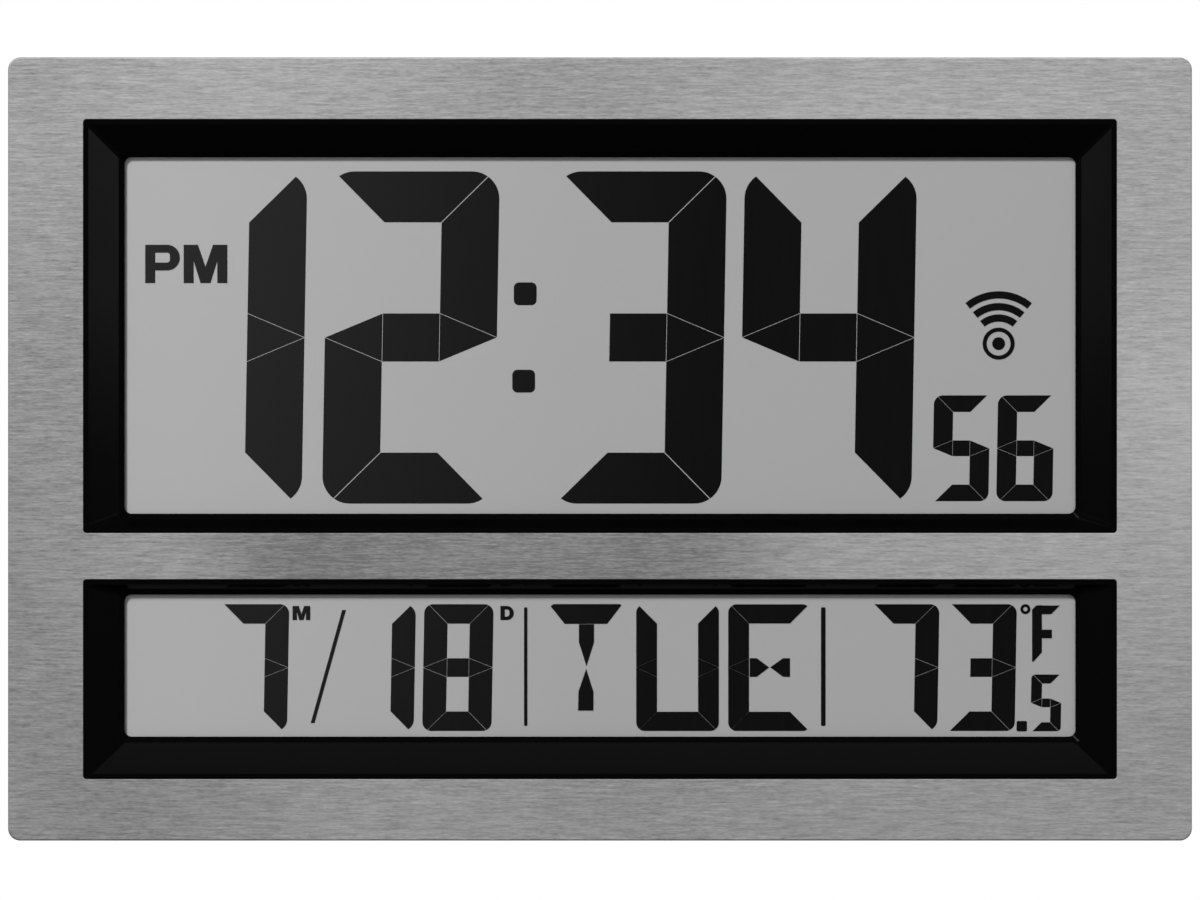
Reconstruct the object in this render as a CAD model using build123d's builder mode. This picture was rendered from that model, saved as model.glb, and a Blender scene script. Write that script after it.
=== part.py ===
from build123d import *
import os
from dataclasses import dataclass, replace
from math import radians, tan

# Atomic wall clock, in millimetres. The wall is the plane Y = 0, the face looks along -Y, +Z is up.
# A level is a height above the wall, measured towards the face.

# Face plate: brushed sheet with a turned edge and two openings
plate_corner_radius = 4.2
sheet = 0.8
plate_return = 7.0
edge_radius = 1.0
side_border = 25.75
top_border = 21.2
bottom_border = 21.1
mullion = 15.9
opening_corner_radius = 1.2

# Front bezel: the slope seen inside each opening, and the seat of the glass behind it
bezel_wall = 2.0
bezel_fit = 0.25
collar_fit = 0.3
collar_drop = 0.4
collar_width = 1.5
side_slope = 14.05
upper_top_slope = 12.95
upper_bottom_slope = 6.6
lower_top_slope = 5.3
lower_bottom_slope = 14.45
lip_width = 2.0
lip_height = 1.4
lip_edge = 1.8
well_depth = 6.5
window_corner_radius = 2.4
rim_fit = 0.3
rim_wall = 1.5
rim_height = 1.2
tongue_gap = 1.0
tongue_wall = 1.5
tongue_height = 4.0

# Displays: lit segments on the front glass, rear glass, reflector film, contact strip
glass = 1.1
segment_thickness = 0.15
film = 0.25
glass_margin = 3.0
contact_ledge = 4.0
glass_corner_radius = 0.6
strip_width = 2.4
strip_height = 2.1
holder_thickness = 1.5
holder_bar = 14.0
holder_end = 4.5
holder_corner_radius = 3.0

# Figures: the lean of the segments and the light line between two of them
figure_lean = 1.0
segment_gap = 0.1

# Time and seconds on the upper display: the figures and the spaces between them
time_height = 114.1
time_width = 59.1
time_stroke = 19.7
time_bar = 17.5
time_middle_bar = 16.5
time_corner_radius = 9.4
time_top_margin = 4.8
time_bottom_margin = 3.45
hour_margin = 2.6
hour_gap = 7.0
colon_gap = 18.9
minute_gap = 6.2
colon_size = 7.85
colon_rise = 15.0
colon_corner_radius = 1.8
seconds_height = 36.35
seconds_width = 19.3
seconds_stroke = 6.65
seconds_bar = 5.7
seconds_middle_bar = 5.4
seconds_corner_radius = 3.2
seconds_tip_radius = 0.3
seconds_space = 6.5
seconds_gap = 2.7
seconds_margin = 7.5
seconds_rise = 4.275

# Date and temperature on the lower display
date_height = 43.55
date_width = 23.8
date_stroke = 8.1
date_bar = 6.7
date_middle_bar = 6.4
date_corner_radius = 3.2
date_tip_radius = 0.3
date_top_margin = 3.3
date_bottom_margin = 1.9
month_margin = 32.3
slash_gap = 19.7
date_gap = 2.9
degree_gap = 2.8
tenth_height = 19.5
tenth_width = 10.4
tenth_stroke = 3.7
tenth_bar = 3.1
tenth_middle_bar = 3.0
tenth_corner_radius = 1.5
tenth_tip_radius = 0.2
tenth_margin = 4.8
tenth_rise = 1.8
tenth_gap = 1.35
point_size = 3.6
point_corner_radius = 0.5
point_gap = 0.25
point_rise = 1.75

# Battery bay: four AA cells side by side, a door over them
battery_diameter = 14.5
battery_length = 50.5
battery_nub_radius = 2.75
battery_nub_height = 1.2
battery_edge_radius = 0.6
battery_count = 4
battery_gap = 0.5
battery_room = 0.6
battery_seat = 0.1
bay_side_gap = 0.4
bay_floor = 1.5
bay_wall = 2.0
bay_rib_width = 2.0
bay_rib_height = 3.0
contact_sheet = 0.4
contact_width = 8.0
contact_height = 10.0
contact_gap = 0.1
spring_width = 5.0
spring_reach = 5.5
door_thickness = 2.0
door_lap = 1.5
door_fit = 0.25
door_corner_radius = 1.5
door_tab_width = 6.0
door_tab_reach = 2.25
door_tab_root = 2.0
door_tab_thickness = 1.4
door_tab_play = 0.2
tab_slot_depth = 3.0
tab_slot_play = 0.5
latch_width = 14.0
latch_length = 12.0
latch_slit = 0.8
grip_groove_width = 1.0
grip_groove_depth = 0.6
grip_groove_pitch = 2.4
grip_groove_count = 3

# Back cover: drafted tray
cover_wall = 2.0
cover_fit = 0.4
cover_draft = 4.0
cover_rear_radius = 2.0
cover_corner_radius = 6.0
stack_room = 0.4

# Keyholes for two wall screws
keyhole_spacing = 220.0
keyhole_drop = 49.3
keyhole_entry_radius = 4.5
keyhole_slot_width = 5.0
keyhole_slot_rise = 9.0
pocket_depth = 8.0
pocket_wall = 1.5
pocket_gap = 4.0

# Vents over the thermistor
vent_count = 9
vent_pitch = 8.0
vent_width = 3.0
vent_length = 24.0
vent_rise = 38.3

# Setting keys and the switches below them
key_names = ("mode", "set", "up", "down", "unit", "signal")
key_pitch = 30.0
key_length = 11.0
key_width = 6.5
key_fit = 0.3
key_flange = 1.0
key_flange_thickness = 1.2
key_rest_gap = 0.1
key_stem_radius = 2.0
key_crown_radius = 0.6
key_sunk = 0.6
key_recess_depth = 2.6
key_recess_margin = 7.0
key_recess_corner_radius = 5.0
switch_size = 6.0
switch_height = 3.5
plunger_radius = 1.75
plunger_proud = 1.5
plunger_fit = 0.1
plunger_hole_depth = 2.6
plunger_depth = 1.8

# Main board and what it carries
board_thickness = 1.6
board_end = 8.0
board_margin = 12.0
board_post_gap = 17.0
board_post_margin = 16.0
board_corner_radius = 2.0
chip_radius = 6.0
chip_height = 2.0
chip_place = -30.0
crystal_radius = 1.0
crystal_length = 6.0
crystal_gap = 0.05
crystal_place = 30.0
thermistor_radius = 1.6
thermistor_lead = 3.0
thermistor_lead_radius = 0.3
thermistor_lead_pitch = 1.6
thermistor_place = 60.0
parts_drop = 11.0

# Antenna at the top of the case, receiver board beside the battery bay
rod_radius = 4.0
rod_length = 100.0
rod_level = 9.0
antenna_drop = 30.0
coil_wall = 1.6
coil_length = 24.0
coil_fit = 0.05
saddle_spacing = 76.0
saddle_width = 6.0
saddle_wall = 2.0
receiver_width = 24.0
receiver_height = 16.0
receiver_thickness = 1.2
receiver_level = 8.0
receiver_gap = 14.0
receiver_peg_radius = 0.9
receiver_peg_rise = 0.8
receiver_peg_fit = 0.1
receiver_post_radius = 2.2
receiver_post_pitch = 16.0
receiver_chip_size = 6.0
receiver_chip_height = 1.4

# Fold-out legs and their pins
leg_room = 27.5
leg_tip_rise = 11.3
leg_length = 93.0
leg_width = 20.0
leg_barrel_radius = 3.5
leg_tip_thickness = 4.0
leg_skin = 2.0
leg_rib = 2.2
leg_sunk = 0.5
leg_side_gap = 0.6
leg_end_gap = 1.5
leg_floor_gap = 1.0
leg_recess_floor = 1.5
leg_recess_wall = 2.5
leg_pin_radius = 1.5
leg_pin_fit = 0.05
leg_pin_hold = 1.8
leg_pin_end_gap = 0.1
notch_radius = 9.0
notch_depth = 6.0
notch_rise = 14.0

# Screws and the posts that take them
case_post_radius = 4.0
case_post_inset = 13.0
case_well_radius = 4.2
case_well_depth = 8.0
case_well_wall = 1.6
case_well_floor = 2.0
case_screw_length = 12.0
small_post_radius = 3.0
small_screw_length = 5.0
small_post_gap = 0.5
screw_radius = 1.45
screw_fit = 0.05
screw_clearance = 0.25
screw_tip_room = 0.5
screw_head_radius = 2.8
screw_head_height = 2.0

# Sizes of the face: each window holds its figures, and the plate goes round both
time_row_width = hour_margin + 4 * time_width + hour_gap + colon_gap + minute_gap
window_width = time_row_width + seconds_space + 2 * seconds_width + seconds_gap + seconds_margin
upper_window_height = time_top_margin + time_height + time_bottom_margin
lower_window_height = date_top_margin + date_height + date_bottom_margin
upper_opening_height = upper_top_slope + upper_window_height + upper_bottom_slope
lower_opening_height = lower_top_slope + lower_window_height + lower_bottom_slope
opening_width = window_width + 2 * side_slope
plate_width = opening_width + 2 * side_border
plate_height = top_border + upper_opening_height + mullion + lower_opening_height + bottom_border

# Levels, from the wall to the face
battery_level = door_thickness + battery_room + battery_diameter / 2
bay_floor_level = battery_level + battery_diameter / 2 + battery_seat
bay_front_level = bay_floor_level + bay_floor
holder_back = bay_front_level + stack_room
holder_front = holder_back + holder_thickness
rear_glass_back = holder_front + film
glass_joint = rear_glass_back + glass
glass_front = glass_joint + glass
segment_front = glass_front + segment_thickness
plate_front = glass_front + well_depth
plate_back = plate_front - sheet
bezel_back = plate_back - bezel_wall
collar_front = plate_front - collar_drop
lip_foot = glass_front + lip_edge
slope_foot = lip_foot + lip_height
board_front = glass_joint - strip_height
board_back = board_front - board_thickness
case_post_level = case_well_depth + case_well_floor
screw_hole_radius = screw_radius + screw_clearance
screw_pilot_radius = screw_radius + screw_fit


@dataclass(frozen=True)
class Outline:
    """A rectangle on the face, centred on X, between two heights."""

    top: float
    bottom: float
    width: float

    @property
    def height(self):
        return self.top - self.bottom

    @property
    def middle(self):
        return (self.top + self.bottom) / 2

    def grown(self, sides, above, below):
        return Outline(self.top + above, self.bottom - below, self.width + 2 * sides)

    def draw(self, radius, mode=Mode.ADD):
        with Locations((0, self.middle)):
            RectangleRounded(self.width, self.height, radius, mode=mode)


def level(height):
    """Plane at a height above the wall, seen from the face."""
    return Plane.XZ.offset(height)


# Outlines on the face, from the plate inwards
plate_outline = Outline(plate_height / 2, -plate_height / 2, plate_width)
upper_top = plate_height / 2 - top_border
lower_top = upper_top - upper_opening_height - mullion
upper_opening = Outline(upper_top, upper_top - upper_opening_height, opening_width)
lower_opening = Outline(lower_top, lower_top - lower_opening_height, opening_width)
mullion_middle = (upper_opening.bottom + lower_opening.top) / 2
upper_window = upper_opening.grown(-side_slope, -upper_top_slope, -upper_bottom_slope)
lower_window = lower_opening.grown(-side_slope, -lower_top_slope, -lower_bottom_slope)
upper_back_glass = upper_window.grown(glass_margin, glass_margin, glass_margin)
lower_back_glass = lower_window.grown(glass_margin, glass_margin, glass_margin)
upper_glass = upper_back_glass.grown(0, 0, contact_ledge)
lower_glass = lower_back_glass.grown(0, contact_ledge, 0)
pan_outline = plate_outline.grown(-sheet, -sheet, -sheet)
bezel_outline = pan_outline.grown(-bezel_fit, -bezel_fit, -bezel_fit)
cover_front_outline = pan_outline.grown(-cover_fit, -cover_fit, -cover_fit)
upper_strip_height = upper_glass.bottom + contact_ledge / 2
lower_strip_height = lower_glass.top - contact_ledge / 2
key_row_length = (len(key_names) - 1) * key_pitch
board_post_reach = key_row_length / 2 + board_post_gap
board_width = 2 * (board_post_reach + board_post_margin)
strip_length = board_width - 2 * board_end
board_outline = Outline(
    upper_strip_height + board_margin, lower_strip_height - board_margin, board_width
)
antenna_height = plate_outline.top - antenna_drop
saddle_reach = rod_radius + saddle_wall
post_reach = upper_glass.width / 2 + rim_fit + rim_wall + small_post_radius + small_post_gap
holder_width = 2 * (post_reach + holder_end)
upper_holder_outline = Outline(upper_glass.top, board_outline.top + small_post_gap, holder_width)
lower_holder_outline = Outline(board_outline.bottom - small_post_gap, lower_glass.bottom, holder_width)


def holder_posts(outline, rows):
    """Places of the screws along both ends of a display holder."""
    first = outline.bottom + holder_end
    step = (outline.height - 2 * holder_end) / (rows - 1)
    return [(side * post_reach, first + row * step) for side in (-1, 1) for row in range(rows)]


upper_posts = holder_posts(upper_holder_outline, 3)
lower_posts = holder_posts(lower_holder_outline, 2)
board_posts = [(place * board_post_reach, mullion_middle) for place in (-1, 0, 1)]
case_post_x = plate_width / 2 - case_post_inset
case_post_z = plate_height / 2 - case_post_inset
case_posts = [(x * case_post_x, z * case_post_z) for z in (-1, 1) for x in (-1, 0, 1)]
case_posts += [(-case_post_x, mullion_middle), (case_post_x, mullion_middle)]


# Face plate
with BuildPart() as face_plate:
    with BuildSketch(level(plate_front)):
        plate_outline.draw(plate_corner_radius)
    extrude(amount=-plate_return)
    fillet(face_plate.faces().sort_by(Axis.Y)[0].edges(), edge_radius)
    with BuildSketch(level(plate_back)):
        pan_outline.draw(plate_corner_radius - sheet)
    extrude(amount=-plate_return, mode=Mode.SUBTRACT)
    with BuildSketch(level(plate_front)):
        upper_opening.draw(opening_corner_radius)
        lower_opening.draw(opening_corner_radius)
    extrude(amount=-sheet, mode=Mode.SUBTRACT)

# Front bezel: plate behind the sheet, collars in its openings, sloped wells, seats and posts
wells = (
    (upper_opening, upper_window, upper_glass),
    (lower_opening, lower_window, lower_glass),
)
with BuildPart() as front_bezel:
    with BuildSketch(level(plate_back)):
        bezel_outline.draw(plate_corner_radius - sheet - bezel_fit)
    extrude(amount=-bezel_wall)
    for opening, window, pane in wells:
        with BuildSketch(level(plate_back)):
            opening.grown(-collar_fit, -collar_fit, -collar_fit).draw(opening_corner_radius)
        extrude(amount=collar_front - plate_back)
        seat_rim = rim_fit + rim_wall
        with BuildSketch(level(plate_back)):
            opening.grown(bezel_wall, bezel_wall, bezel_wall).draw(window_corner_radius)
        with BuildSketch(level(glass_front)):
            pane.grown(seat_rim, seat_rim, seat_rim).draw(window_corner_radius)
        loft(ruled=True)
        with BuildSketch(level(glass_front)):
            pane.grown(seat_rim, seat_rim, seat_rim).draw(window_corner_radius)
            pane.grown(rim_fit, rim_fit, rim_fit).draw(glass_corner_radius, mode=Mode.SUBTRACT)
        extrude(amount=-rim_height)
    tongue = cover_front_outline.grown(*[-cover_wall - tongue_gap] * 3)
    with BuildSketch(level(bezel_back)):
        tongue.draw(cover_corner_radius)
        tongue.grown(-tongue_wall, -tongue_wall, -tongue_wall).draw(cover_corner_radius, mode=Mode.SUBTRACT)
    extrude(amount=-tongue_height)
    with BuildSketch(level(bezel_back)):
        with Locations(*case_posts):
            Circle(case_post_radius)
    extrude(amount=case_post_level - bezel_back)
    with BuildSketch(level(bezel_back)):
        with Locations(*upper_posts, *lower_posts):
            Circle(small_post_radius)
    extrude(amount=holder_front - bezel_back)
    with BuildSketch(level(bezel_back)):
        with Locations(*board_posts):
            Circle(small_post_radius)
    extrude(amount=board_front - bezel_back)
    for opening, window, pane in wells:
        brink = opening.grown(*[-collar_fit - collar_width] * 3)
        foot = window.grown(lip_width, lip_width, lip_width)
        with BuildSketch(level(collar_front)):
            brink.draw(opening_corner_radius)
        with BuildSketch(level(slope_foot)):
            foot.draw(window_corner_radius)
        loft(ruled=True, mode=Mode.SUBTRACT)
        with BuildSketch(level(slope_foot)):
            foot.draw(window_corner_radius)
        with BuildSketch(level(lip_foot)):
            window.draw(window_corner_radius)
        loft(ruled=True, mode=Mode.SUBTRACT)
        with BuildSketch(level(lip_foot)):
            window.draw(window_corner_radius)
        extrude(amount=-lip_edge - rim_height, mode=Mode.SUBTRACT)
    with BuildSketch(level(case_post_level)):
        with Locations(*case_posts):
            Circle(screw_pilot_radius)
    extrude(amount=case_screw_length - case_well_floor + screw_tip_room, mode=Mode.SUBTRACT)
    with BuildSketch(level(holder_front)):
        with Locations(*upper_posts, *lower_posts):
            Circle(screw_pilot_radius)
    extrude(amount=small_screw_length - holder_thickness + screw_tip_room, mode=Mode.SUBTRACT)
    with BuildSketch(level(board_front)):
        with Locations(*board_posts):
            Circle(screw_pilot_radius)
    extrude(amount=small_screw_length - board_thickness + screw_tip_room, mode=Mode.SUBTRACT)


# Display glass, film, contact strip and holder: the same pieces behind both openings
def pane_of(outline, front, thickness):
    """Flat pane whose front face is at a level."""
    with BuildPart() as pane:
        with BuildSketch(level(front)):
            outline.draw(glass_corner_radius)
        extrude(amount=-thickness)
    return pane


def strip_at(height):
    """Strip of conductive rubber between the contact ledge and the main board."""
    with BuildPart() as strip:
        with BuildSketch(level(glass_joint)):
            with Locations((0, height)):
                Rectangle(strip_length, strip_width)
        extrude(amount=-strip_height)
    return strip


def holder_of(outline, posts, windows):
    """Flat frame behind a display, with openings between its bars."""
    opening_span = (outline.width - (windows + 1) * holder_bar) / windows
    with BuildPart() as holder:
        with BuildSketch(level(holder_front)):
            outline.draw(holder_corner_radius)
            with Locations((0, outline.middle)):
                with GridLocations(opening_span + holder_bar, 0, windows, 1):
                    Rectangle(opening_span, outline.height - 2 * holder_bar, mode=Mode.SUBTRACT)
            with Locations(*posts):
                Circle(screw_hole_radius, mode=Mode.SUBTRACT)
        extrude(amount=-holder_thickness)
    return holder


upper_front_glass = pane_of(upper_glass, glass_front, glass)
lower_front_glass = pane_of(lower_glass, glass_front, glass)
upper_rear_glass = pane_of(upper_back_glass, glass_joint, glass)
lower_rear_glass = pane_of(lower_back_glass, glass_joint, glass)
upper_reflector = pane_of(upper_back_glass, rear_glass_back, film)
lower_reflector = pane_of(lower_back_glass, rear_glass_back, film)
upper_contact_strip = strip_at(upper_strip_height)
lower_contact_strip = strip_at(lower_strip_height)
upper_display_holder = holder_of(upper_holder_outline, upper_posts, 3)
lower_display_holder = holder_of(lower_holder_outline, lower_posts, 3)


@dataclass(frozen=True)
class FigureStyle:
    """Sizes of one kind of figure: its box, its strokes and its rounded corners."""

    height: float
    width: float
    stroke: float
    bar: float
    middle_bar: float
    corner: float
    tip: float


time_style = FigureStyle(
    height=time_height,
    width=time_width,
    stroke=time_stroke,
    bar=time_bar,
    middle_bar=time_middle_bar,
    corner=time_corner_radius,
    tip=time_corner_radius,
)
seconds_style = FigureStyle(
    height=seconds_height,
    width=seconds_width,
    stroke=seconds_stroke,
    bar=seconds_bar,
    middle_bar=seconds_middle_bar,
    corner=seconds_corner_radius,
    tip=seconds_tip_radius,
)
date_style = FigureStyle(
    height=date_height,
    width=date_width,
    stroke=date_stroke,
    bar=date_bar,
    middle_bar=date_middle_bar,
    corner=date_corner_radius,
    tip=date_tip_radius,
)
tenth_style = FigureStyle(
    height=tenth_height,
    width=tenth_width,
    stroke=tenth_stroke,
    bar=tenth_bar,
    middle_bar=tenth_middle_bar,
    corner=tenth_corner_radius,
    tip=tenth_tip_radius,
)

# Lit segments of each figure shown: bars, uprights, and the arrow heads at both ends of the middle bar
lit_segments = {
    "1": "upper_right right_arrow lower_right",
    "2": "top upper_right right_arrow middle left_arrow lower_left bottom",
    "3": "top upper_right right_arrow middle lower_right bottom",
    "4": "upper_left left_arrow middle right_arrow upper_right lower_right",
    "5": "top upper_left left_arrow middle right_arrow lower_right bottom",
    "6": "top upper_left left_arrow middle right_arrow lower_right bottom lower_left",
    "7": "top upper_right right_arrow lower_right",
    "8": "top upper_right right_arrow lower_right bottom lower_left left_arrow upper_left middle",
}


def segment_corners(style):
    """Corner points of the nine segments, from the figure's left edge and mid height."""
    half = style.height / 2
    arm = half - style.bar
    step = style.middle_bar / 2
    left, right, edge = style.stroke, style.width - style.stroke, style.width
    far = arm + style.stroke
    return {
        "top": [(left, arm), (right, arm), (right + style.bar, half), (left - style.bar, half)],
        "bottom": [(left - style.bar, -half), (right + style.bar, -half), (right, -arm), (left, -arm)],
        "upper_left": [(left, step), (left, arm), (0, far), (0, 0)],
        "upper_right": [(right, step), (edge, 0), (edge, far), (right, arm)],
        "lower_left": [(left, -step), (0, 0), (0, -far), (left, -arm)],
        "lower_right": [(right, -step), (right, -arm), (edge, -far), (edge, 0)],
        "left_arrow": [(left, -step), (left, step), (0, 0)],
        "right_arrow": [(right, -step), (edge, 0), (right, step)],
        "middle": [(left, -step), (right, -step), (right, step), (left, step)],
    }


def figure_faces(figure, left, middle, style):
    """Faces of the lit segments of one figure, leaning and cut to its rounded outline."""
    slope = tan(radians(figure_lean))
    lit = lit_segments[figure].split()
    # The figure is drawn half a gap larger all round, and each segment is then drawn in by half a gap.
    drawn = replace(
        style,
        height=style.height + segment_gap,
        width=style.width + segment_gap,
        stroke=style.stroke + segment_gap,
        bar=style.bar + segment_gap,
        middle_bar=style.middle_bar + segment_gap,
    )
    half = drawn.height / 2
    corners = segment_corners(drawn)

    def placed(points):
        return [(left - segment_gap / 2 + u + v * slope, middle + v) for u, v in points]

    def corner_radius(bar, upright):
        return style.corner if bar in lit and upright in lit else style.tip

    box = placed([(0, -half), (drawn.width, -half), (drawn.width, half), (0, half)])
    radii = [
        corner_radius("bottom", "lower_left"),
        corner_radius("bottom", "lower_right"),
        corner_radius("top", "upper_right"),
        corner_radius("top", "upper_left"),
    ]
    faces = []
    for name in lit:
        with BuildSketch() as segment:
            with BuildLine():
                FilletPolyline(*box, radius=radii, close=True)
            make_face()
            with BuildLine():
                Polyline(*placed(corners[name]), close=True)
            make_face(mode=Mode.INTERSECT)
            offset(amount=-segment_gap / 2, kind=Kind.INTERSECTION)
        faces.append(segment.sketch)
    return faces


def row_faces(figures, middle, style):
    """Faces of a row of figures, each given with its left edge."""
    return [face for figure, left in figures for face in figure_faces(figure, left, middle, style)]


def left_edges(start, width, gaps):
    """Left edges of figures of one width, in a row from a starting edge."""
    edges = [start]
    for gap in gaps:
        edges.append(edges[-1] + width + gap)
    return edges


# Time and seconds fill the upper window. The lower one has the date at the left, the degrees at the right.
window_end = window_width / 2
time_edges = left_edges(hour_margin - window_end, time_width, (hour_gap, colon_gap, minute_gap))
seconds_edges = left_edges(time_edges[-1] + time_width + seconds_space, seconds_width, (seconds_gap,))
date_edges = left_edges(month_margin - window_end, date_width, (slash_gap, date_gap))
tenth_edge = window_end - tenth_margin - tenth_width
point_edge = tenth_edge - tenth_gap - point_size
degree_edges = left_edges(point_edge - point_gap - degree_gap - 2 * date_width, date_width, (degree_gap,))
time_row = list(zip("1234", time_edges))
seconds_row = list(zip("56", seconds_edges))
date_row = list(zip("718", date_edges)) + list(zip("73", degree_edges))
tenth_row = [("5", tenth_edge)]
time_middle = upper_window.bottom + time_bottom_margin + time_height / 2
date_middle = lower_window.bottom + date_bottom_margin + date_height / 2
seconds_middle = upper_window.bottom + seconds_rise + seconds_height / 2
tenth_middle = lower_window.bottom + tenth_rise + tenth_height / 2
point_place = (point_edge + point_size / 2, lower_window.bottom + point_rise + point_size / 2)
colon_middle = time_edges[2] - colon_gap / 2
colon_shift = colon_rise * tan(radians(figure_lean))
colon_places = [
    (colon_middle + sense * colon_shift, time_middle + sense * colon_rise) for sense in (-1, 1)
]

upper_faces = row_faces(time_row, time_middle, time_style)
upper_faces += row_faces(seconds_row, seconds_middle, seconds_style)
lower_faces = row_faces(date_row, date_middle, date_style)
lower_faces += row_faces(tenth_row, tenth_middle, tenth_style)

with BuildPart() as upper_segments:
    with BuildSketch(level(segment_front)):
        add(upper_faces)
        with Locations(*colon_places):
            RectangleRounded(colon_size, colon_size, colon_corner_radius)
    extrude(amount=-segment_thickness)

with BuildPart() as lower_segments:
    with BuildSketch(level(segment_front)):
        add(lower_faces)
        with Locations(point_place):
            RectangleRounded(point_size, point_size, point_corner_radius)
    extrude(amount=-segment_thickness)


# Main board with its chip, crystal, thermistor and switches
key_places = [
    (place * key_pitch - key_row_length / 2, mullion_middle) for place in range(len(key_names))
]
parts_row = mullion_middle - parts_drop

with BuildPart() as main_board:
    with BuildSketch(level(board_front)):
        board_outline.draw(board_corner_radius)
        with Locations(*board_posts):
            Circle(screw_hole_radius, mode=Mode.SUBTRACT)
    extrude(amount=-board_thickness)

chip_sphere_radius = (chip_radius**2 + chip_height**2) / (2 * chip_height)
chip_edge = (chip_place + chip_radius, -board_back)
chip_crown = (chip_place, chip_height - board_back)
with BuildPart() as controller_chip:
    with BuildSketch(Plane.XY.offset(parts_row)):
        with BuildLine():
            Line((chip_place, -board_back), chip_edge)
            RadiusArc(chip_edge, chip_crown, -chip_sphere_radius)
            Line(chip_crown, (chip_place, -board_back))
        make_face()
    revolve(axis=Axis((chip_place, 0, parts_row), (0, 1, 0)))

crystal_level = board_back - crystal_radius - crystal_gap
with BuildPart() as quartz_crystal:
    with BuildSketch(Plane.YZ.offset(crystal_place - crystal_length / 2)):
        with Locations((-crystal_level, parts_row)):
            Circle(crystal_radius)
    extrude(amount=crystal_length)
    fillet(quartz_crystal.edges().filter_by(GeomType.CIRCLE), crystal_radius / 3)

with BuildPart() as thermistor:
    with BuildSketch(level(board_back)):
        with Locations((thermistor_place, parts_row)):
            with GridLocations(thermistor_lead_pitch, 0, 2, 1):
                Circle(thermistor_lead_radius)
    extrude(amount=-thermistor_lead)
    with Locations((thermistor_place, thermistor_lead + thermistor_radius / 2 - board_back, parts_row)):
        Sphere(thermistor_radius)

with BuildPart() as tact_switches:
    with BuildSketch(level(board_back)):
        with Locations(*key_places):
            Rectangle(switch_size, switch_size)
    extrude(amount=-switch_height)
    with BuildSketch(level(board_back - switch_height)):
        with Locations(*key_places):
            Circle(plunger_radius + plunger_fit)
    extrude(amount=plunger_hole_depth, mode=Mode.SUBTRACT)

# Setting keys: an oblong cap with a flange behind the recess floor and a stem down to the plunger
key_floor_level = key_recess_depth + cover_wall
key_flange_level = key_floor_level + key_rest_gap
plunger_level = board_back - switch_height - plunger_proud


def key_at(place):
    """One setting key."""
    with BuildPart() as key:
        with BuildSketch(level(key_sunk)):
            with Locations(place):
                SlotOverall(key_length, key_width)
        extrude(amount=key_flange_level - key_sunk)
        fillet(key.faces().sort_by(Axis.Y)[-1].edges(), key_crown_radius)
        with BuildSketch(level(key_flange_level)):
            with Locations(place):
                SlotOverall(key_length + 2 * key_flange, key_width + 2 * key_flange)
        extrude(amount=key_flange_thickness)
        with BuildSketch(level(key_flange_level)):
            with Locations(place):
                Circle(key_stem_radius)
        extrude(amount=plunger_level - key_flange_level)
    return key


def plunger_at(place):
    """Plunger of the switch below a key."""
    with BuildPart() as plunger:
        with BuildSketch(level(plunger_level)):
            with Locations(place):
                Circle(plunger_radius)
        extrude(amount=plunger_proud + plunger_depth)
    return plunger


keys = {f"{name}_key": key_at(place) for name, place in zip(key_names, key_places)}
plungers = {f"{name}_plunger": plunger_at(place) for name, place in zip(key_names, key_places)}

# Battery bay, midway between the main board and the antenna: cells, contacts and door
battery_pitch = battery_diameter + battery_gap
bay_width = battery_count * battery_pitch + 2 * bay_side_gap
bay_height = spring_reach + battery_length + 2 * contact_gap + contact_sheet
bay_middle = (board_outline.top + antenna_height - saddle_reach) / 2
bay_bottom = bay_middle - bay_height / 2
bay_outline = Outline(bay_bottom + bay_height, bay_bottom, bay_width)
door_outline = bay_outline.grown(door_lap, door_lap, door_lap)
battery_places = [(place - (battery_count - 1) / 2) * battery_pitch for place in range(battery_count)]
door_tab_places = [-battery_pitch, battery_pitch]


def battery_at(x, upright):
    """One AA cell, its nub up or down."""
    sense = 1 if upright else -1
    wall = bay_outline.bottom if upright else bay_outline.top
    flat_end = wall + sense * (spring_reach + contact_gap)
    with BuildPart() as battery:
        with BuildSketch(Plane.XY.offset(flat_end)):
            with Locations((x, -battery_level)):
                Circle(battery_diameter / 2)
        extrude(amount=sense * (battery_length - battery_nub_height))
        fillet(battery.edges().filter_by(GeomType.CIRCLE), battery_edge_radius)
        with BuildSketch(Plane.XY.offset(flat_end)):
            with Locations((x, -battery_level)):
                Circle(battery_nub_radius)
        extrude(amount=sense * battery_length)
    return battery


batteries = {
    f"battery_{place + 1}": battery_at(x, place % 2 == 0) for place, x in enumerate(battery_places)
}

# Contacts: a bowed leaf at each flat end, a plain plate at each nub
with BuildPart() as spring_contacts:
    for place, x in enumerate(battery_places):
        wall = bay_bottom if place % 2 == 0 else bay_outline.top
        sense = 1 if place % 2 == 0 else -1
        low = contact_height / 2 - battery_level
        high = -contact_height / 2 - battery_level
        face = wall + sense * contact_sheet
        crest = wall + sense * spring_reach
        with BuildSketch(Plane.YZ.offset(x - spring_width / 2)):
            with Locations((-battery_level, wall + sense * contact_sheet / 2)):
                Rectangle(contact_height, contact_sheet)
            with BuildLine():
                ThreePointArc((low, face), (-battery_level, crest), (high, face))
                Line((high, face), (low, face))
            make_face()
            with BuildLine():
                ThreePointArc(
                    (low - contact_sheet, face),
                    (-battery_level, crest - sense * contact_sheet),
                    (high + contact_sheet, face),
                )
                Line((high + contact_sheet, face), (low - contact_sheet, face))
            make_face(mode=Mode.SUBTRACT)
        extrude(amount=spring_width)

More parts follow.
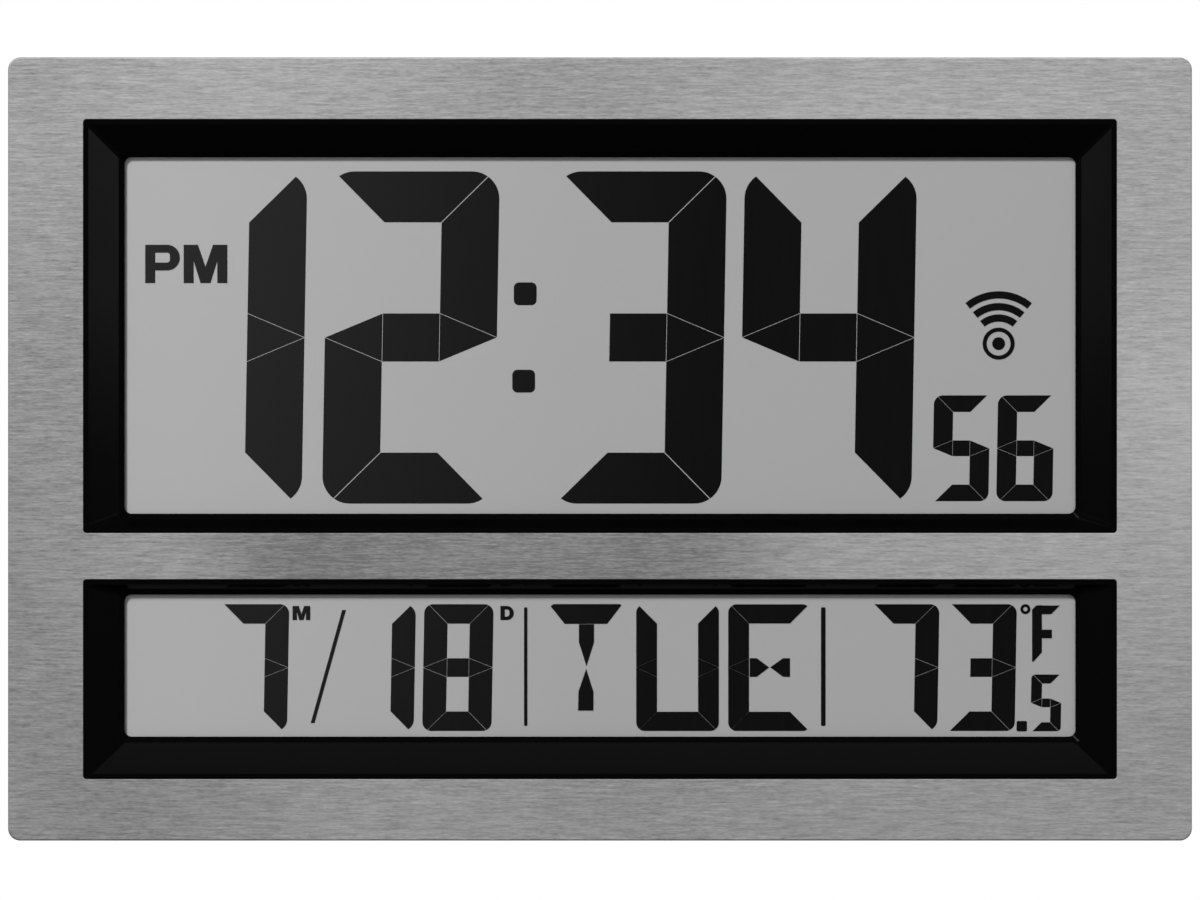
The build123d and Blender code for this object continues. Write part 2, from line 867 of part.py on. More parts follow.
with BuildPart() as plate_contacts:
    for place, x in enumerate(battery_places):
        wall = bay_outline.top if place % 2 == 0 else bay_bottom
        sense = -1 if place % 2 == 0 else 1
        with BuildSketch(Plane.XY.offset(wall)):
            with Locations((x, -battery_level)):
                Rectangle(contact_width, contact_height)
        extrude(amount=sense * contact_sheet)

with BuildPart() as battery_door:
    with BuildSketch(level(0)):
        door_outline.draw(door_corner_radius)
        with Locations((0, door_outline.top - latch_length / 2)):
            with GridLocations(latch_width, 0, 2, 1):
                Rectangle(latch_slit, latch_length, mode=Mode.SUBTRACT)
    extrude(amount=door_thickness)
    with BuildSketch(level(0)):
        with Locations((0, door_outline.top - latch_length / 2)):
            with GridLocations(0, grip_groove_pitch, 1, grip_groove_count):
                Rectangle(latch_width - 3 * latch_slit, grip_groove_width)
    extrude(amount=grip_groove_depth, mode=Mode.SUBTRACT)
    with BuildSketch(level(door_thickness)):
        with Locations(*[(x, door_outline.bottom + door_tab_root / 2) for x in door_tab_places]):
            Rectangle(door_tab_width, door_tab_root)
    extrude(amount=door_tab_play + door_tab_thickness)
    with BuildSketch(level(door_thickness + door_tab_play)):
        with Locations(*[(x, door_outline.bottom - door_tab_reach / 2) for x in door_tab_places]):
            Rectangle(door_tab_width, door_tab_reach)
    extrude(amount=door_tab_thickness)

# Legs: a ribbed arm with a barrel at its upper end, on a steel pin
leg_axis_level = leg_sunk + leg_barrel_radius
leg_tip_height = plate_outline.bottom + leg_tip_rise
leg_hinge_height = leg_tip_height + leg_length
key_recess_length = key_row_length + key_length + 2 * key_recess_margin
leg_reach = key_recess_length / 2 + leg_room
leg_recess_depth = leg_sunk + 2 * leg_barrel_radius + leg_floor_gap
leg_recess_width = leg_width + 2 * leg_side_gap
leg_recess = Outline(
    leg_hinge_height + leg_barrel_radius + leg_end_gap, leg_tip_height - leg_end_gap, leg_recess_width
)
leg_front = leg_sunk + 2 * leg_barrel_radius
leg_places = {"left": -leg_reach, "right": leg_reach}


def leg_at(x):
    """One fold-out leg, lying in its recess."""
    with BuildPart() as leg:
        with BuildSketch(Plane.YZ.offset(x - leg_width / 2)):
            with Locations((-leg_axis_level, leg_hinge_height)):
                Circle(leg_barrel_radius)
            with BuildLine():
                Polyline(
                    (-leg_sunk, leg_hinge_height),
                    (-leg_sunk, leg_tip_height),
                    (-leg_sunk - leg_tip_thickness, leg_tip_height),
                    (-leg_front, leg_hinge_height),
                    close=True,
                )
            make_face()
        extrude(amount=leg_width)
        arm_top = leg_hinge_height - leg_barrel_radius - leg_rib
        arm_bottom = leg_tip_height + leg_rib
        with BuildSketch(level(leg_sunk + leg_skin)):
            with Locations((x, (arm_top + arm_bottom) / 2)):
                RectangleRounded(leg_width - 2 * leg_rib, arm_top - arm_bottom, leg_rib)
        extrude(amount=leg_front, mode=Mode.SUBTRACT)
        with BuildSketch(Plane.YZ.offset(x - leg_width / 2)):
            with Locations((-leg_axis_level, leg_hinge_height)):
                Circle(leg_pin_radius + leg_pin_fit)
        extrude(amount=leg_width, mode=Mode.SUBTRACT)
    return leg


def leg_pin_at(x):
    """Steel pin through the leg's barrel, held in both walls of the recess."""
    length = leg_recess_width + 2 * leg_pin_hold
    with BuildPart() as pin:
        with BuildSketch(Plane.YZ.offset(x - length / 2)):
            with Locations((-leg_axis_level, leg_hinge_height)):
                Circle(leg_pin_radius)
        extrude(amount=length)
    return pin


legs = {f"{side}_leg": leg_at(x) for side, x in leg_places.items()}
leg_pins = {f"{side}_leg_pin": leg_pin_at(x) for side, x in leg_places.items()}


# Back cover: drafted tray with every recess, post and saddle on it
def cover_outline_at(height, inset):
    """Outline of the tray's wall at a level, drawn in by an inset."""
    draft = cover_draft * (1 - height / bezel_back)
    return cover_front_outline.grown(*[-draft - inset] * 3)


keyhole_height = plate_outline.top - keyhole_drop
keyhole_places = [(-keyhole_spacing / 2, keyhole_height), (keyhole_spacing / 2, keyhole_height)]
pocket_width = 2 * keyhole_entry_radius + 2 * pocket_gap
pocket_rise = 2 * keyhole_entry_radius + keyhole_slot_rise + pocket_gap
pocket_middle = keyhole_height + keyhole_slot_rise / 2
key_recess_rise = key_width + 2 * key_recess_margin
vent_height = plate_outline.bottom + vent_rise
receiver_place = bay_width / 2 + bay_wall + receiver_gap + receiver_width / 2
receiver_pegs = [
    (receiver_place - receiver_post_pitch / 2, bay_middle),
    (receiver_place + receiver_post_pitch / 2, bay_middle),
]
saddle_places = [(-saddle_spacing / 2, antenna_height), (saddle_spacing / 2, antenna_height)]
notch_places = [
    (x - (leg_recess_width / 2 if x > 0 else -leg_recess_width / 2), leg_tip_height + notch_rise)
    for x in leg_places.values()
]

with BuildPart() as back_cover:
    with BuildSketch(level(bezel_back)):
        cover_outline_at(bezel_back, 0).draw(cover_corner_radius)
    with BuildSketch(level(0)):
        cover_outline_at(0, 0).draw(cover_corner_radius)
    loft(ruled=True)
    fillet(back_cover.faces().sort_by(Axis.Y)[-1].edges(), cover_rear_radius)
    with BuildSketch(level(bezel_back)):
        cover_outline_at(bezel_back, cover_wall).draw(cover_corner_radius - cover_wall)
    with BuildSketch(level(cover_wall)):
        cover_outline_at(cover_wall, cover_wall).draw(cover_corner_radius - cover_wall)
    loft(ruled=True, mode=Mode.SUBTRACT)

    # Walls of the recesses, wells and posts, standing on the rear wall
    with BuildSketch(level(0)):
        bay_outline.grown(bay_wall, bay_wall, bay_wall).draw(door_corner_radius)
    extrude(amount=bay_front_level)
    with BuildSketch(level(0)):
        with Locations((0, mullion_middle)):
            RectangleRounded(
                key_recess_length + 2 * cover_wall, key_recess_rise + 2 * cover_wall, key_recess_corner_radius
            )
    extrude(amount=key_floor_level)
    with BuildSketch(level(0)):
        with Locations(*[(x, leg_recess.middle) for x in leg_places.values()]):
            Rectangle(leg_recess.width + 2 * leg_recess_wall, leg_recess.height + 2 * leg_recess_wall)
    extrude(amount=leg_recess_depth + leg_recess_floor)
    with BuildSketch(level(0)):
        with Locations(*notch_places):
            Circle(notch_radius + cover_wall)
    extrude(amount=notch_depth + leg_recess_floor)
    with BuildSketch(level(0)):
        with Locations(*[(x, pocket_middle) for x, z in keyhole_places]):
            Rectangle(pocket_width + 2 * pocket_wall, pocket_rise + 2 * pocket_wall)
    extrude(amount=pocket_depth + pocket_wall)
    with BuildSketch(level(0)):
        with Locations(*case_posts):
            Circle(case_well_radius + case_well_wall)
    extrude(amount=case_post_level)
    with BuildSketch(level(0)):
        with Locations(*saddle_places):
            Rectangle(saddle_width, 2 * saddle_reach)
    extrude(amount=rod_level)
    with BuildSketch(level(0)):
        with Locations(*receiver_pegs):
            Circle(receiver_post_radius)
    extrude(amount=receiver_level)
    with BuildSketch(level(0)):
        with Locations(*receiver_pegs):
            Circle(receiver_peg_radius)
    extrude(amount=receiver_level + receiver_thickness + receiver_peg_rise)

    # Battery bay, the rebate of its door, slots for the door's tabs
    with BuildSketch(level(0)):
        bay_outline.draw(door_corner_radius)
    extrude(amount=bay_floor_level, mode=Mode.SUBTRACT)
    with BuildSketch(level(0)):
        door_outline.grown(door_fit, door_fit, door_fit).draw(door_corner_radius + door_fit)
    extrude(amount=door_thickness, mode=Mode.SUBTRACT)
    with BuildSketch(level(door_thickness)):
        with Locations(*[(x, bay_bottom - bay_wall / 2) for x in door_tab_places]):
            Rectangle(door_tab_width + 2 * tab_slot_play, bay_wall)
    extrude(amount=tab_slot_depth, mode=Mode.SUBTRACT)
    with BuildSketch(level(bay_floor_level)):
        with Locations((0, bay_outline.middle)):
            with GridLocations(battery_pitch, 0, battery_count - 1, 1):
                Rectangle(bay_rib_width, bay_height)
    extrude(amount=-bay_rib_height)

    # Key recess with a hole for each key
    with BuildSketch(level(0)):
        with Locations((0, mullion_middle)):
            RectangleRounded(key_recess_length, key_recess_rise, key_recess_corner_radius - cover_wall)
    extrude(amount=key_recess_depth, mode=Mode.SUBTRACT)
    with BuildSketch(level(key_recess_depth)):
        with Locations(*key_places):
            SlotOverall(key_length + 2 * key_fit, key_width + 2 * key_fit)
    extrude(amount=cover_wall, mode=Mode.SUBTRACT)

    # Leg recesses, finger notches and pin holes
    with BuildSketch(level(0)):
        with Locations(*[(x, leg_recess.middle) for x in leg_places.values()]):
            Rectangle(leg_recess.width, leg_recess.height)
    extrude(amount=leg_recess_depth, mode=Mode.SUBTRACT)
    with BuildSketch(level(0)):
        with Locations(*notch_places):
            Circle(notch_radius)
    extrude(amount=notch_depth, mode=Mode.SUBTRACT)
    pin_hole_length = leg_recess_width + 2 * (leg_pin_hold + leg_pin_end_gap)
    for x in leg_places.values():
        with BuildSketch(Plane.YZ.offset(x - pin_hole_length / 2)):
            with Locations((-leg_axis_level, leg_hinge_height)):
                Circle(leg_pin_radius + leg_pin_fit)
        extrude(amount=pin_hole_length, mode=Mode.SUBTRACT)

    # Keyholes, each opening into a pocket for the screw head
    with BuildSketch(level(cover_wall)):
        with Locations(*[(x, pocket_middle) for x, z in keyhole_places]):
            Rectangle(pocket_width, pocket_rise)
    extrude(amount=pocket_depth - cover_wall, mode=Mode.SUBTRACT)
    with BuildSketch(level(0)):
        with Locations(*keyhole_places):
            Circle(keyhole_entry_radius)
        with Locations(*[(x, z + keyhole_slot_rise / 2) for x, z in keyhole_places]):
            SlotOverall(keyhole_slot_rise + keyhole_slot_width, keyhole_slot_width, rotation=90)
    extrude(amount=cover_wall, mode=Mode.SUBTRACT)

    # Screw wells, vents and the troughs of the antenna's saddles
    with BuildSketch(level(0)):
        with Locations(*case_posts):
            Circle(case_well_radius)
    extrude(amount=case_well_depth, mode=Mode.SUBTRACT)
    with BuildSketch(level(case_well_depth)):
        with Locations(*case_posts):
            Circle(screw_hole_radius)
    extrude(amount=case_well_floor, mode=Mode.SUBTRACT)
    with BuildSketch(level(0)):
        with Locations((0, vent_height)):
            with GridLocations(vent_pitch, 0, vent_count, 1):
                SlotOverall(vent_length, vent_width, rotation=90)
    extrude(amount=cover_wall, mode=Mode.SUBTRACT)
    with BuildSketch(Plane.YZ.offset(-rod_length / 2)):
        with Locations((-rod_level, antenna_height)):
            Circle(rod_radius + coil_fit)
    extrude(amount=rod_length, mode=Mode.SUBTRACT)

# Antenna, and the receiver board for its signal
with BuildPart() as ferrite_rod:
    with BuildSketch(Plane.YZ.offset(-rod_length / 2)):
        with Locations((-rod_level, antenna_height)):
            Circle(rod_radius)
    extrude(amount=rod_length)

with BuildPart() as antenna_coil:
    with BuildSketch(Plane.YZ.offset(-coil_length / 2)):
        with Locations((-rod_level, antenna_height)):
            Circle(rod_radius + coil_fit + coil_wall)
            Circle(rod_radius + coil_fit, mode=Mode.SUBTRACT)
    extrude(amount=coil_length)

with BuildPart() as receiver_board:
    with BuildSketch(level(receiver_level)):
        with Locations((receiver_place, bay_middle)):
            Rectangle(receiver_width, receiver_height)
        with Locations(*receiver_pegs):
            Circle(receiver_peg_radius + receiver_peg_fit, mode=Mode.SUBTRACT)
    extrude(amount=receiver_thickness)

with BuildPart() as receiver_chip:
    with BuildSketch(level(receiver_level + receiver_thickness)):
        with Locations((receiver_place, bay_middle)):
            Rectangle(receiver_chip_size, receiver_chip_size)
    extrude(amount=receiver_chip_height)


# Screws: a head against its seat and a plain shank towards the face
def screws_at(places, seat_level, length):
    """A group of pan-head screws driven from the back."""
    with BuildPart() as screws:
        with BuildSketch(level(seat_level)):
            with Locations(*places):
                Circle(screw_head_radius)
        extrude(amount=-screw_head_height)
        with BuildSketch(level(seat_level)):
            with Locations(*places):
                Circle(screw_radius)
        extrude(amount=length)
    return screws


case_screws = screws_at(case_posts, case_well_depth, case_screw_length)
holder_screws = screws_at(upper_posts + lower_posts, holder_back, small_screw_length)
board_screws = screws_at(board_posts, board_back, small_screw_length)

pieces = {
    "face_plate": face_plate,
    "front_bezel": front_bezel,
    "upper_front_glass": upper_front_glass,
    "upper_segments": upper_segments,
    "upper_rear_glass": upper_rear_glass,
    "upper_reflector": upper_reflector,
    "upper_contact_strip": upper_contact_strip,
    "upper_display_holder": upper_display_holder,
    "lower_front_glass": lower_front_glass,
    "lower_segments": lower_segments,
    "lower_rear_glass": lower_rear_glass,
    "lower_reflector": lower_reflector,
    "lower_contact_strip": lower_contact_strip,
    "lower_display_holder": lower_display_holder,
    "main_board": main_board,
    "controller_chip": controller_chip,
    "quartz_crystal": quartz_crystal,
    "thermistor": thermistor,
    "tact_switches": tact_switches,
    "back_cover": back_cover,
    "battery_door": battery_door,
    "spring_contacts": spring_contacts,
    "plate_contacts": plate_contacts,
    "ferrite_rod": ferrite_rod,
    "antenna_coil": antenna_coil,
    "receiver_board": receiver_board,
    "receiver_chip": receiver_chip,
    "case_screws": case_screws,
    "holder_screws": holder_screws,
    "board_screws": board_screws,
    **keys,
    **plungers,
    **batteries,
    **legs,
    **leg_pins,
}

os.makedirs("parts", exist_ok=True)
for name, piece in pieces.items():
    piece.part.label = name
    export_step(piece.part, f"parts/{name}.step")
print(f"{len(pieces)} pieces, case depth {plate_front:.2f} mm")
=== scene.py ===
"""Looks of the atomic wall clock: brushed face, dark wells, two displays and a moulded back."""
import logging
import math
from collections.abc import Callable, Iterable
from dataclasses import dataclass
from enum import Enum, auto

import bmesh
import bpy
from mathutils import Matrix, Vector


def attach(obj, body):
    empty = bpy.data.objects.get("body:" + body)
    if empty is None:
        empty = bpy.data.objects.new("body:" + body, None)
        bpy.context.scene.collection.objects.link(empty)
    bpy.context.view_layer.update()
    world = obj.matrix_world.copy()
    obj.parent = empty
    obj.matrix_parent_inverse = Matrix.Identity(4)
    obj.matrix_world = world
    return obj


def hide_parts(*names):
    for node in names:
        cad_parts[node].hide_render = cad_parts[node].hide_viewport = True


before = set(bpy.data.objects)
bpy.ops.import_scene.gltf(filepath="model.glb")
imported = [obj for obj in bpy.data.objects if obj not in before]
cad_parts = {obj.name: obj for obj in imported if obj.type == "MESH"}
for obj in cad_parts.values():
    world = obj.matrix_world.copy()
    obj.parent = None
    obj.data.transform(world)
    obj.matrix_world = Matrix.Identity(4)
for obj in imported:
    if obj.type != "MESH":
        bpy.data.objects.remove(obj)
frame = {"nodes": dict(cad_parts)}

Colour = tuple[float, float, float]
Place = tuple[float, float]
Triple = tuple[float, float, float]
Outline = tuple[Place, ...]
Piece = bpy.types.Object
Socket = bpy.types.NodeSocket
Test = Callable[[Vector, Vector], bool]

MM = 0.001
CASE = "case"
KEYS = ("mode", "set", "up", "down", "unit", "signal")

# Levels above the wall, in millimetres
GLASS_FRONT = 23.05
INK_FRONT = 23.20

# Picking and cutting: lengths in millimetres, then shares of a direction that count as along or across
NEAR = 0.01
LEAST_CUT = 1e-4
CUT_MARGIN = 1.0
ALONG = 0.9
ACROSS = 0.1

# Points nearer than this are merged, in metres
MERGE = 1e-7
SEAM = 1e-6

ROUND_SIDES = 48
SHARP_ANGLE = math.radians(30.0)
FLAT_WEIGHT = 100
NOISE_SPAN = (0.3, 0.7)
WHITE = (1.0, 1.0, 1.0, 1.0)
QUARTER_TURN = math.pi / 2
WHOLE_TURN = 360.0

log = logging.getLogger("clock")


class Kind(Enum):
    """What is picked in edit mode."""

    POINT = "VERT"
    EDGE = "EDGE"
    FACE = "FACE"


class Act(Enum):
    """How one solid acts on another."""

    CUT = "DIFFERENCE"
    FUSE = "UNION"


class Axis(Enum):
    """Axes of a piece that a finish follows."""

    X = "X"
    Z = "Z"


class Sum(Enum):
    """What a node works out from two values."""

    POWER = "POWER"
    PRODUCT = "MULTIPLY"
    LARGER = "MAXIMUM"


class Nub(Enum):
    """Which way the nub of a battery cell points."""

    UP = 1
    DOWN = -1


class Slot(Enum):
    """Material slots of the record."""

    METAL = "brushed_metal"
    INK = "segment_black"
    STEEL = "plated_steel"
    KEY = "key_plastic"


class Segment(Enum):
    """Segments of a letter."""

    TOP = auto()
    BOTTOM = auto()
    UPPER_LEFT = auto()
    UPPER_RIGHT = auto()
    LOWER_LEFT = auto()
    LOWER_RIGHT = auto()
    LEFT_ARROW = auto()
    RIGHT_ARROW = auto()


class Joint(Enum):
    """Lines between neighbouring segments of a figure."""

    MITRE_TOP_RIGHT = auto()
    MITRE_BOTTOM_RIGHT = auto()
    MITRE_BOTTOM_LEFT = auto()
    RIGHT_UPPER = auto()
    RIGHT_LOWER = auto()
    RIGHT_END = auto()
    LEFT_UPPER = auto()
    LEFT_LOWER = auto()
    LEFT_END = auto()


class Wiring:
    """Nodes of one material or of the surroundings, wired step by step."""

    def __init__(self, owner: bpy.types.Material | bpy.types.World) -> None:
        """Start from the nodes of a new material or world.

        Args:
            owner: the material or world.
        """
        owner.use_nodes = True
        self.tree = owner.node_tree
        self.shader = self.tree.nodes.get("Principled BSDF")

    def node(self, kind: str) -> bpy.types.Node:
        """Add a node of a kind."""
        return self.tree.nodes.new(kind)

    def join(self, source: Socket, target: Socket) -> None:
        """Link two sockets."""
        self.tree.links.new(source, target)

    def grain(self, scale: Triple, detail: float = 2.0, twist: float = 0.0) -> Socket:
        """Noise on the piece's own coordinates.

        Args:
            scale: cells per metre along X, Y and Z.
            detail: finer layers on top of the first.
            twist: how far the cells are pulled out of line.

        Returns:
            The socket with values around one half.
        """
        where = self.node("ShaderNodeTexCoord")
        stretch = self.node("ShaderNodeMapping")
        noise = self.node("ShaderNodeTexNoise")
        stretch.inputs["Scale"].default_value = scale
        noise.inputs["Scale"].default_value = 1.0
        noise.inputs["Detail"].default_value = detail
        noise.inputs["Distortion"].default_value = twist
        self.join(where.outputs["Object"], stretch.inputs["Vector"])
        self.join(stretch.outputs["Vector"], noise.inputs["Vector"])
        return noise.outputs[0]

    def distance(self, centre: Triple, stretch: Triple = (1.0, 1.0, 1.0)) -> Socket:
        """Distance from a point of the piece.

        Args:
            centre: the point, in metres.
            stretch: how much a metre along X, Y and Z counts.

        Returns:
            The socket with the distance in metres.
        """
        where = self.node("ShaderNodeTexCoord")
        scaled = self.node("ShaderNodeMapping")
        scaled.inputs["Scale"].default_value = stretch
        length = self.node("ShaderNodeVectorMath")
        length.operation = "DISTANCE"
        length.inputs[1].default_value = [part * way for part, way in zip(centre, stretch)]
        self.join(where.outputs["Object"], scaled.inputs["Vector"])
        self.join(scaled.outputs["Vector"], length.inputs[0])
        return length.outputs["Value"]

    def along(self, axis: Axis) -> Socket:
        """Distance along one axis of the piece.

        Args:
            axis: the axis to follow.

        Returns:
            The socket with the distance in metres.
        """
        where = self.node("ShaderNodeTexCoord")
        parts = self.node("ShaderNodeSeparateXYZ")
        self.join(where.outputs["Object"], parts.inputs["Vector"])
        return parts.outputs[axis.value]

    def spread(self, value: Socket, source: Place, target: Place) -> Socket:
        """Map one range of values to another.

        Args:
            value: the socket to map.
            source: lowest and highest value taken in.
            target: lowest and highest value given out.

        Returns:
            The mapped socket.
        """
        step = self.node("ShaderNodeMapRange")
        self.join(value, step.inputs["Value"])
        step.inputs["From Min"].default_value, step.inputs["From Max"].default_value = source
        step.inputs["To Min"].default_value, step.inputs["To Max"].default_value = target
        return step.outputs["Result"]

    def reckon(self, act: Sum, first: Socket, second: Socket | float) -> Socket:
        """Work out one value from two.

        Args:
            act: what is done with them.
            first: the first value.
            second: the second value, or a number that is the same all over.

        Returns:
            The socket with the outcome.
        """
        step = self.node("ShaderNodeMath")
        step.operation = act.value
        self.join(first, step.inputs[0])
        if isinstance(second, float):
            step.inputs[1].default_value = second
        else:
            self.join(second, step.inputs[1])
        return step.outputs[0]

    def mean(self, first: Socket, second: Socket, share: float) -> Socket:
        """Weighted mean of two values.

        Args:
            first: the value that counts for the rest of the share.
            second: the value that counts for the share.
            share: weight of the second value, from 0 to 1.

        Returns:
            The socket with the mean.
        """
        mix = self.node("ShaderNodeMix")
        mix.inputs[0].default_value = share
        self.join(first, mix.inputs[2])
        self.join(second, mix.inputs[3])
        return mix.outputs[0]

    def shades(self, value: Socket, low: Colour, high: Colour, span: Place = NOISE_SPAN) -> None:
        """Colour the surface between two shades.

        Args:
            value: the socket that chooses the shade.
            low: colour at the start of the span.
            high: colour at the end of the span.
            span: values where the ramp starts and ends.
        """
        ramp = self.node("ShaderNodeValToRGB")
        first, last = ramp.color_ramp.elements
        first.position, last.position = span
        first.color, last.color = (*low, 1.0), (*high, 1.0)
        self.join(value, ramp.inputs["Fac"])
        self.join(ramp.outputs["Color"], self.shader.inputs["Base Color"])

    def greys(self, value: Socket, low: float, high: float, span: Place) -> None:
        """Colour the surface between two greys, as for shades."""
        self.shades(value, (low,) * 3, (high,) * 3, span)

    def gloss(self, value: Socket, rough: Place) -> None:
        """Let noise vary the roughness between two values."""
        self.join(self.spread(value, NOISE_SPAN, rough), self.shader.inputs["Roughness"])

    def relief(self, value: Socket, strength: float, depth: float) -> None:
        """Raise the surface a little by a value.

        Args:
            value: height, from 0 to 1.
            strength: share of the effect.
            depth: height of the relief in metres.
        """
        bump = self.node("ShaderNodeBump")
        bump.inputs["Strength"].default_value = strength
        bump.inputs["Distance"].default_value = depth
        self.join(value, bump.inputs["Height"])
        self.join(bump.outputs["Normal"], self.shader.inputs["Normal"])

    def constants(self, **values: float) -> None:
        """Set sockets of the shader that are the same all over, named with underscores for spaces."""
        for name, value in values.items():
            self.shader.inputs[name.replace("_", " ")].default_value = value

    def blend(self, share: Socket, first: Socket, second: Socket, target: Socket) -> None:
        """Blend two shaders and lead them to an output.

        Args:
            share: weight of the second shader, from 0 to 1.
            first: the shader that has the rest of the share.
            second: the shader that has the share.
            target: the output's socket.
        """
        mix = self.node("ShaderNodeMixShader")
        for source, end in zip((share, first, second), mix.inputs):
            self.join(source, end)
        self.join(mix.outputs[0], target)


@dataclass(frozen=True)
class Finish:
    """A surface finish, made a material once and then shared."""

    name: str

    def material(self) -> bpy.types.Material:
        """Make the material of this finish, or find it.

        Returns:
            The material.
        """
        known = bpy.data.materials.get(self.name)
        if known is not None:
            return known
        made = bpy.data.materials.new(self.name)
        self.wire(Wiring(made))
        return made

    def wire(self, nodes: Wiring) -> None:
        """Wire the finish's nodes."""
        raise NotImplementedError

    def coat(self, pieces: Iterable[Piece]) -> None:
        """Give pieces this finish as their only material.

        Args:
            pieces: the pieces to coat.
        """
        for piece in pieces:
            piece.data.materials.clear()
            piece.data.materials.append(self.material())


@dataclass(frozen=True)
class BrushedMetal(Finish):
    """Sheet metal brushed from side to side."""

    dark: float = 0.125
    light: float = 0.355
    contrast: Place = (0.4, 0.6)
    streaks: Triple = (120.0, 1500.0, 1500.0)
    flecks: Triple = (420.0, 2300.0, 2300.0)
    fleck_twist: float = 0.4
    fleck_share: float = 0.5
    clouds: Triple = (7.0, 7.0, 11.0)
    cloud_share: float = 0.22
    # painted shade: the tone is darker round this point, out to the reach, so that the middle of the face
    # looks dimmer
    painted_shade_centre: Triple = (-0.035, 0.0, -0.03675)
    stretch: Triple = (1.0, 1.0, 2.0)
    reach: Place = (0.075, 0.115)
    painted_shade_tones: Place = (0.27, 0.5)
    painted_shade_share: float = 0.4
    # painted reflection: the tone grows lighter from -X to +X across the face
    half_width: float = 0.203
    lean: Place = (0.41, 0.59)
    painted_reflection_share: float = 0.22
    rough: Place = (0.5, 0.62)
    brushing: float = 0.4
    strength: float = 0.25
    depth: float = 0.00006

    def wire(self, nodes: Wiring) -> None:
        """Streaks, short flecks and slow clouds of tone, with painted shade at the heart and a painted
        reflection that lightens towards +X.

        Args:
            nodes: the nodes of the material.
        """
        streak = nodes.grain(self.streaks, detail=3.0)
        fleck = nodes.grain(self.flecks, twist=self.fleck_twist)
        cloud = nodes.grain(self.clouds, detail=1.0)
        tone = nodes.mean(nodes.mean(streak, fleck, self.fleck_share), cloud, self.cloud_share)
        # painted shade: darker round the centre of the face
        painted_shade = nodes.spread(nodes.distance(self.painted_shade_centre, self.stretch), self.reach, self.painted_shade_tones)
        # painted reflection: lighter towards +X
        side = nodes.spread(nodes.along(Axis.X), (-self.half_width, self.half_width), self.lean)
        tone = nodes.mean(nodes.mean(tone, painted_shade, self.painted_shade_share), side, self.painted_reflection_share)
        nodes.greys(tone, self.dark, self.light, self.contrast)
        nodes.gloss(fleck, self.rough)
        nodes.relief(streak, self.strength, self.depth)
        nodes.constants(Metallic=1.0, Anisotropic=self.brushing)


@dataclass(frozen=True)
class MouldedPlastic(Finish):
    """Moulded plastic with a fine eroded texture."""

    shade: Colour = (0.006, 0.006, 0.0065)
    lift: float = 1.5
    rough: Place = (0.42, 0.55)
    specular: float = 0.12
    cells: float = 2600.0
    slow_cells: float = 30.0
    slow_share: float = 0.3
    strength: float = 0.2
    depth: float = 0.00004

    def wire(self, nodes: Wiring) -> None:
        """Fine texture with slow changes of tone and gloss.

        Args:
            nodes: the nodes of the material.
        """
        fine = nodes.grain((self.cells,) * 3)
        slow = nodes.grain((self.slow_cells,) * 3)
        tone = nodes.mean(fine, slow, self.slow_share)
        nodes.shades(tone, self.shade, tuple(part * self.lift for part in self.shade))
        nodes.gloss(slow, self.rough)
        nodes.relief(fine, self.strength, self.depth)
        nodes.constants(Specular_IOR_Level=self.specular)


@dataclass(frozen=True)
class DisplayGround(Finish):
    """Silver-grey ground of a reflective display, behind a matt polariser."""

    shade: float = 0.328
    light: float = 0.362
    contrast: Place = (0.075, 0.925)
    cells: float = 5200.0
    slow_cells: Triple = (6.0, 6.0, 9.0)
    slow_share: float = 0.6
    # painted glare: the ground is lighter towards -X, over this span of X in metres
    painted_glare: Place = (-0.14, -0.01)
    painted_glare_share: float = 0.75
    rough: Place = (0.5, 0.62)
    specular: float = 0.06

    def wire(self, nodes: Wiring) -> None:
        """Very fine sparkle of the matt surface, and painted glare that lightens the ground towards -X.

        Args:
            nodes: the nodes of the material.
        """
        sparkle = nodes.grain((self.cells,) * 3, detail=1.0)
        tone = nodes.mean(sparkle, nodes.grain(self.slow_cells), self.slow_share)
        # painted glare, lighter towards -X
        side = nodes.spread(nodes.along(Axis.X), self.painted_glare, (1.0, 0.0))
        nodes.greys(nodes.mean(tone, side, self.painted_glare_share), self.shade, self.light, self.contrast)
        nodes.gloss(sparkle, self.rough)
        nodes.constants(Specular_IOR_Level=self.specular)


@dataclass(frozen=True)
class LitSegment(Finish):
    """Near-black of a lit liquid-crystal segment."""

    shade: float = 0.0018
    light: float = 0.0195
    contrast: Place = (0.055, 0.925)
    line_cells: Triple = (700.0, 700.0, 40.0)
    cells: float = 4000.0
    fine_share: float = 0.6
    # painted glare: the segments are lighter round this corner, fading out over the reach
    corner: Triple = (-0.154, 0.0, 0.1)
    stretch: Triple = (1.0, 1.0, 0.45)
    reach: float = 0.2
    painted_glare_fall: float = 1.4
    painted_glare_share: float = 0.85
    rough: Place = (0.5, 0.62)
    specular: float = 0.03

    def wire(self, nodes: Wiring) -> None:
        """Faint vertical lines and a fine sparkle, with painted glare that lightens the segments near one
        corner.

        Args:
            nodes: the nodes of the material.
        """
        lines = nodes.grain(self.line_cells, detail=1.0)
        sparkle = nodes.grain((self.cells,) * 3, detail=1.0)
        tone = nodes.mean(lines, sparkle, self.fine_share)
        # painted glare near one corner, blended into the segments' tone
        near_glare = nodes.spread(nodes.distance(self.corner, self.stretch), (0.0, self.reach), (1.0, 0.0))
        painted_glare = nodes.mean(tone, nodes.reckon(Sum.POWER, near_glare, self.painted_glare_fall), self.painted_glare_share)
        nodes.greys(painted_glare, self.shade, self.light, self.contrast)
        nodes.gloss(sparkle, self.rough)
        nodes.constants(Specular_IOR_Level=self.specular)


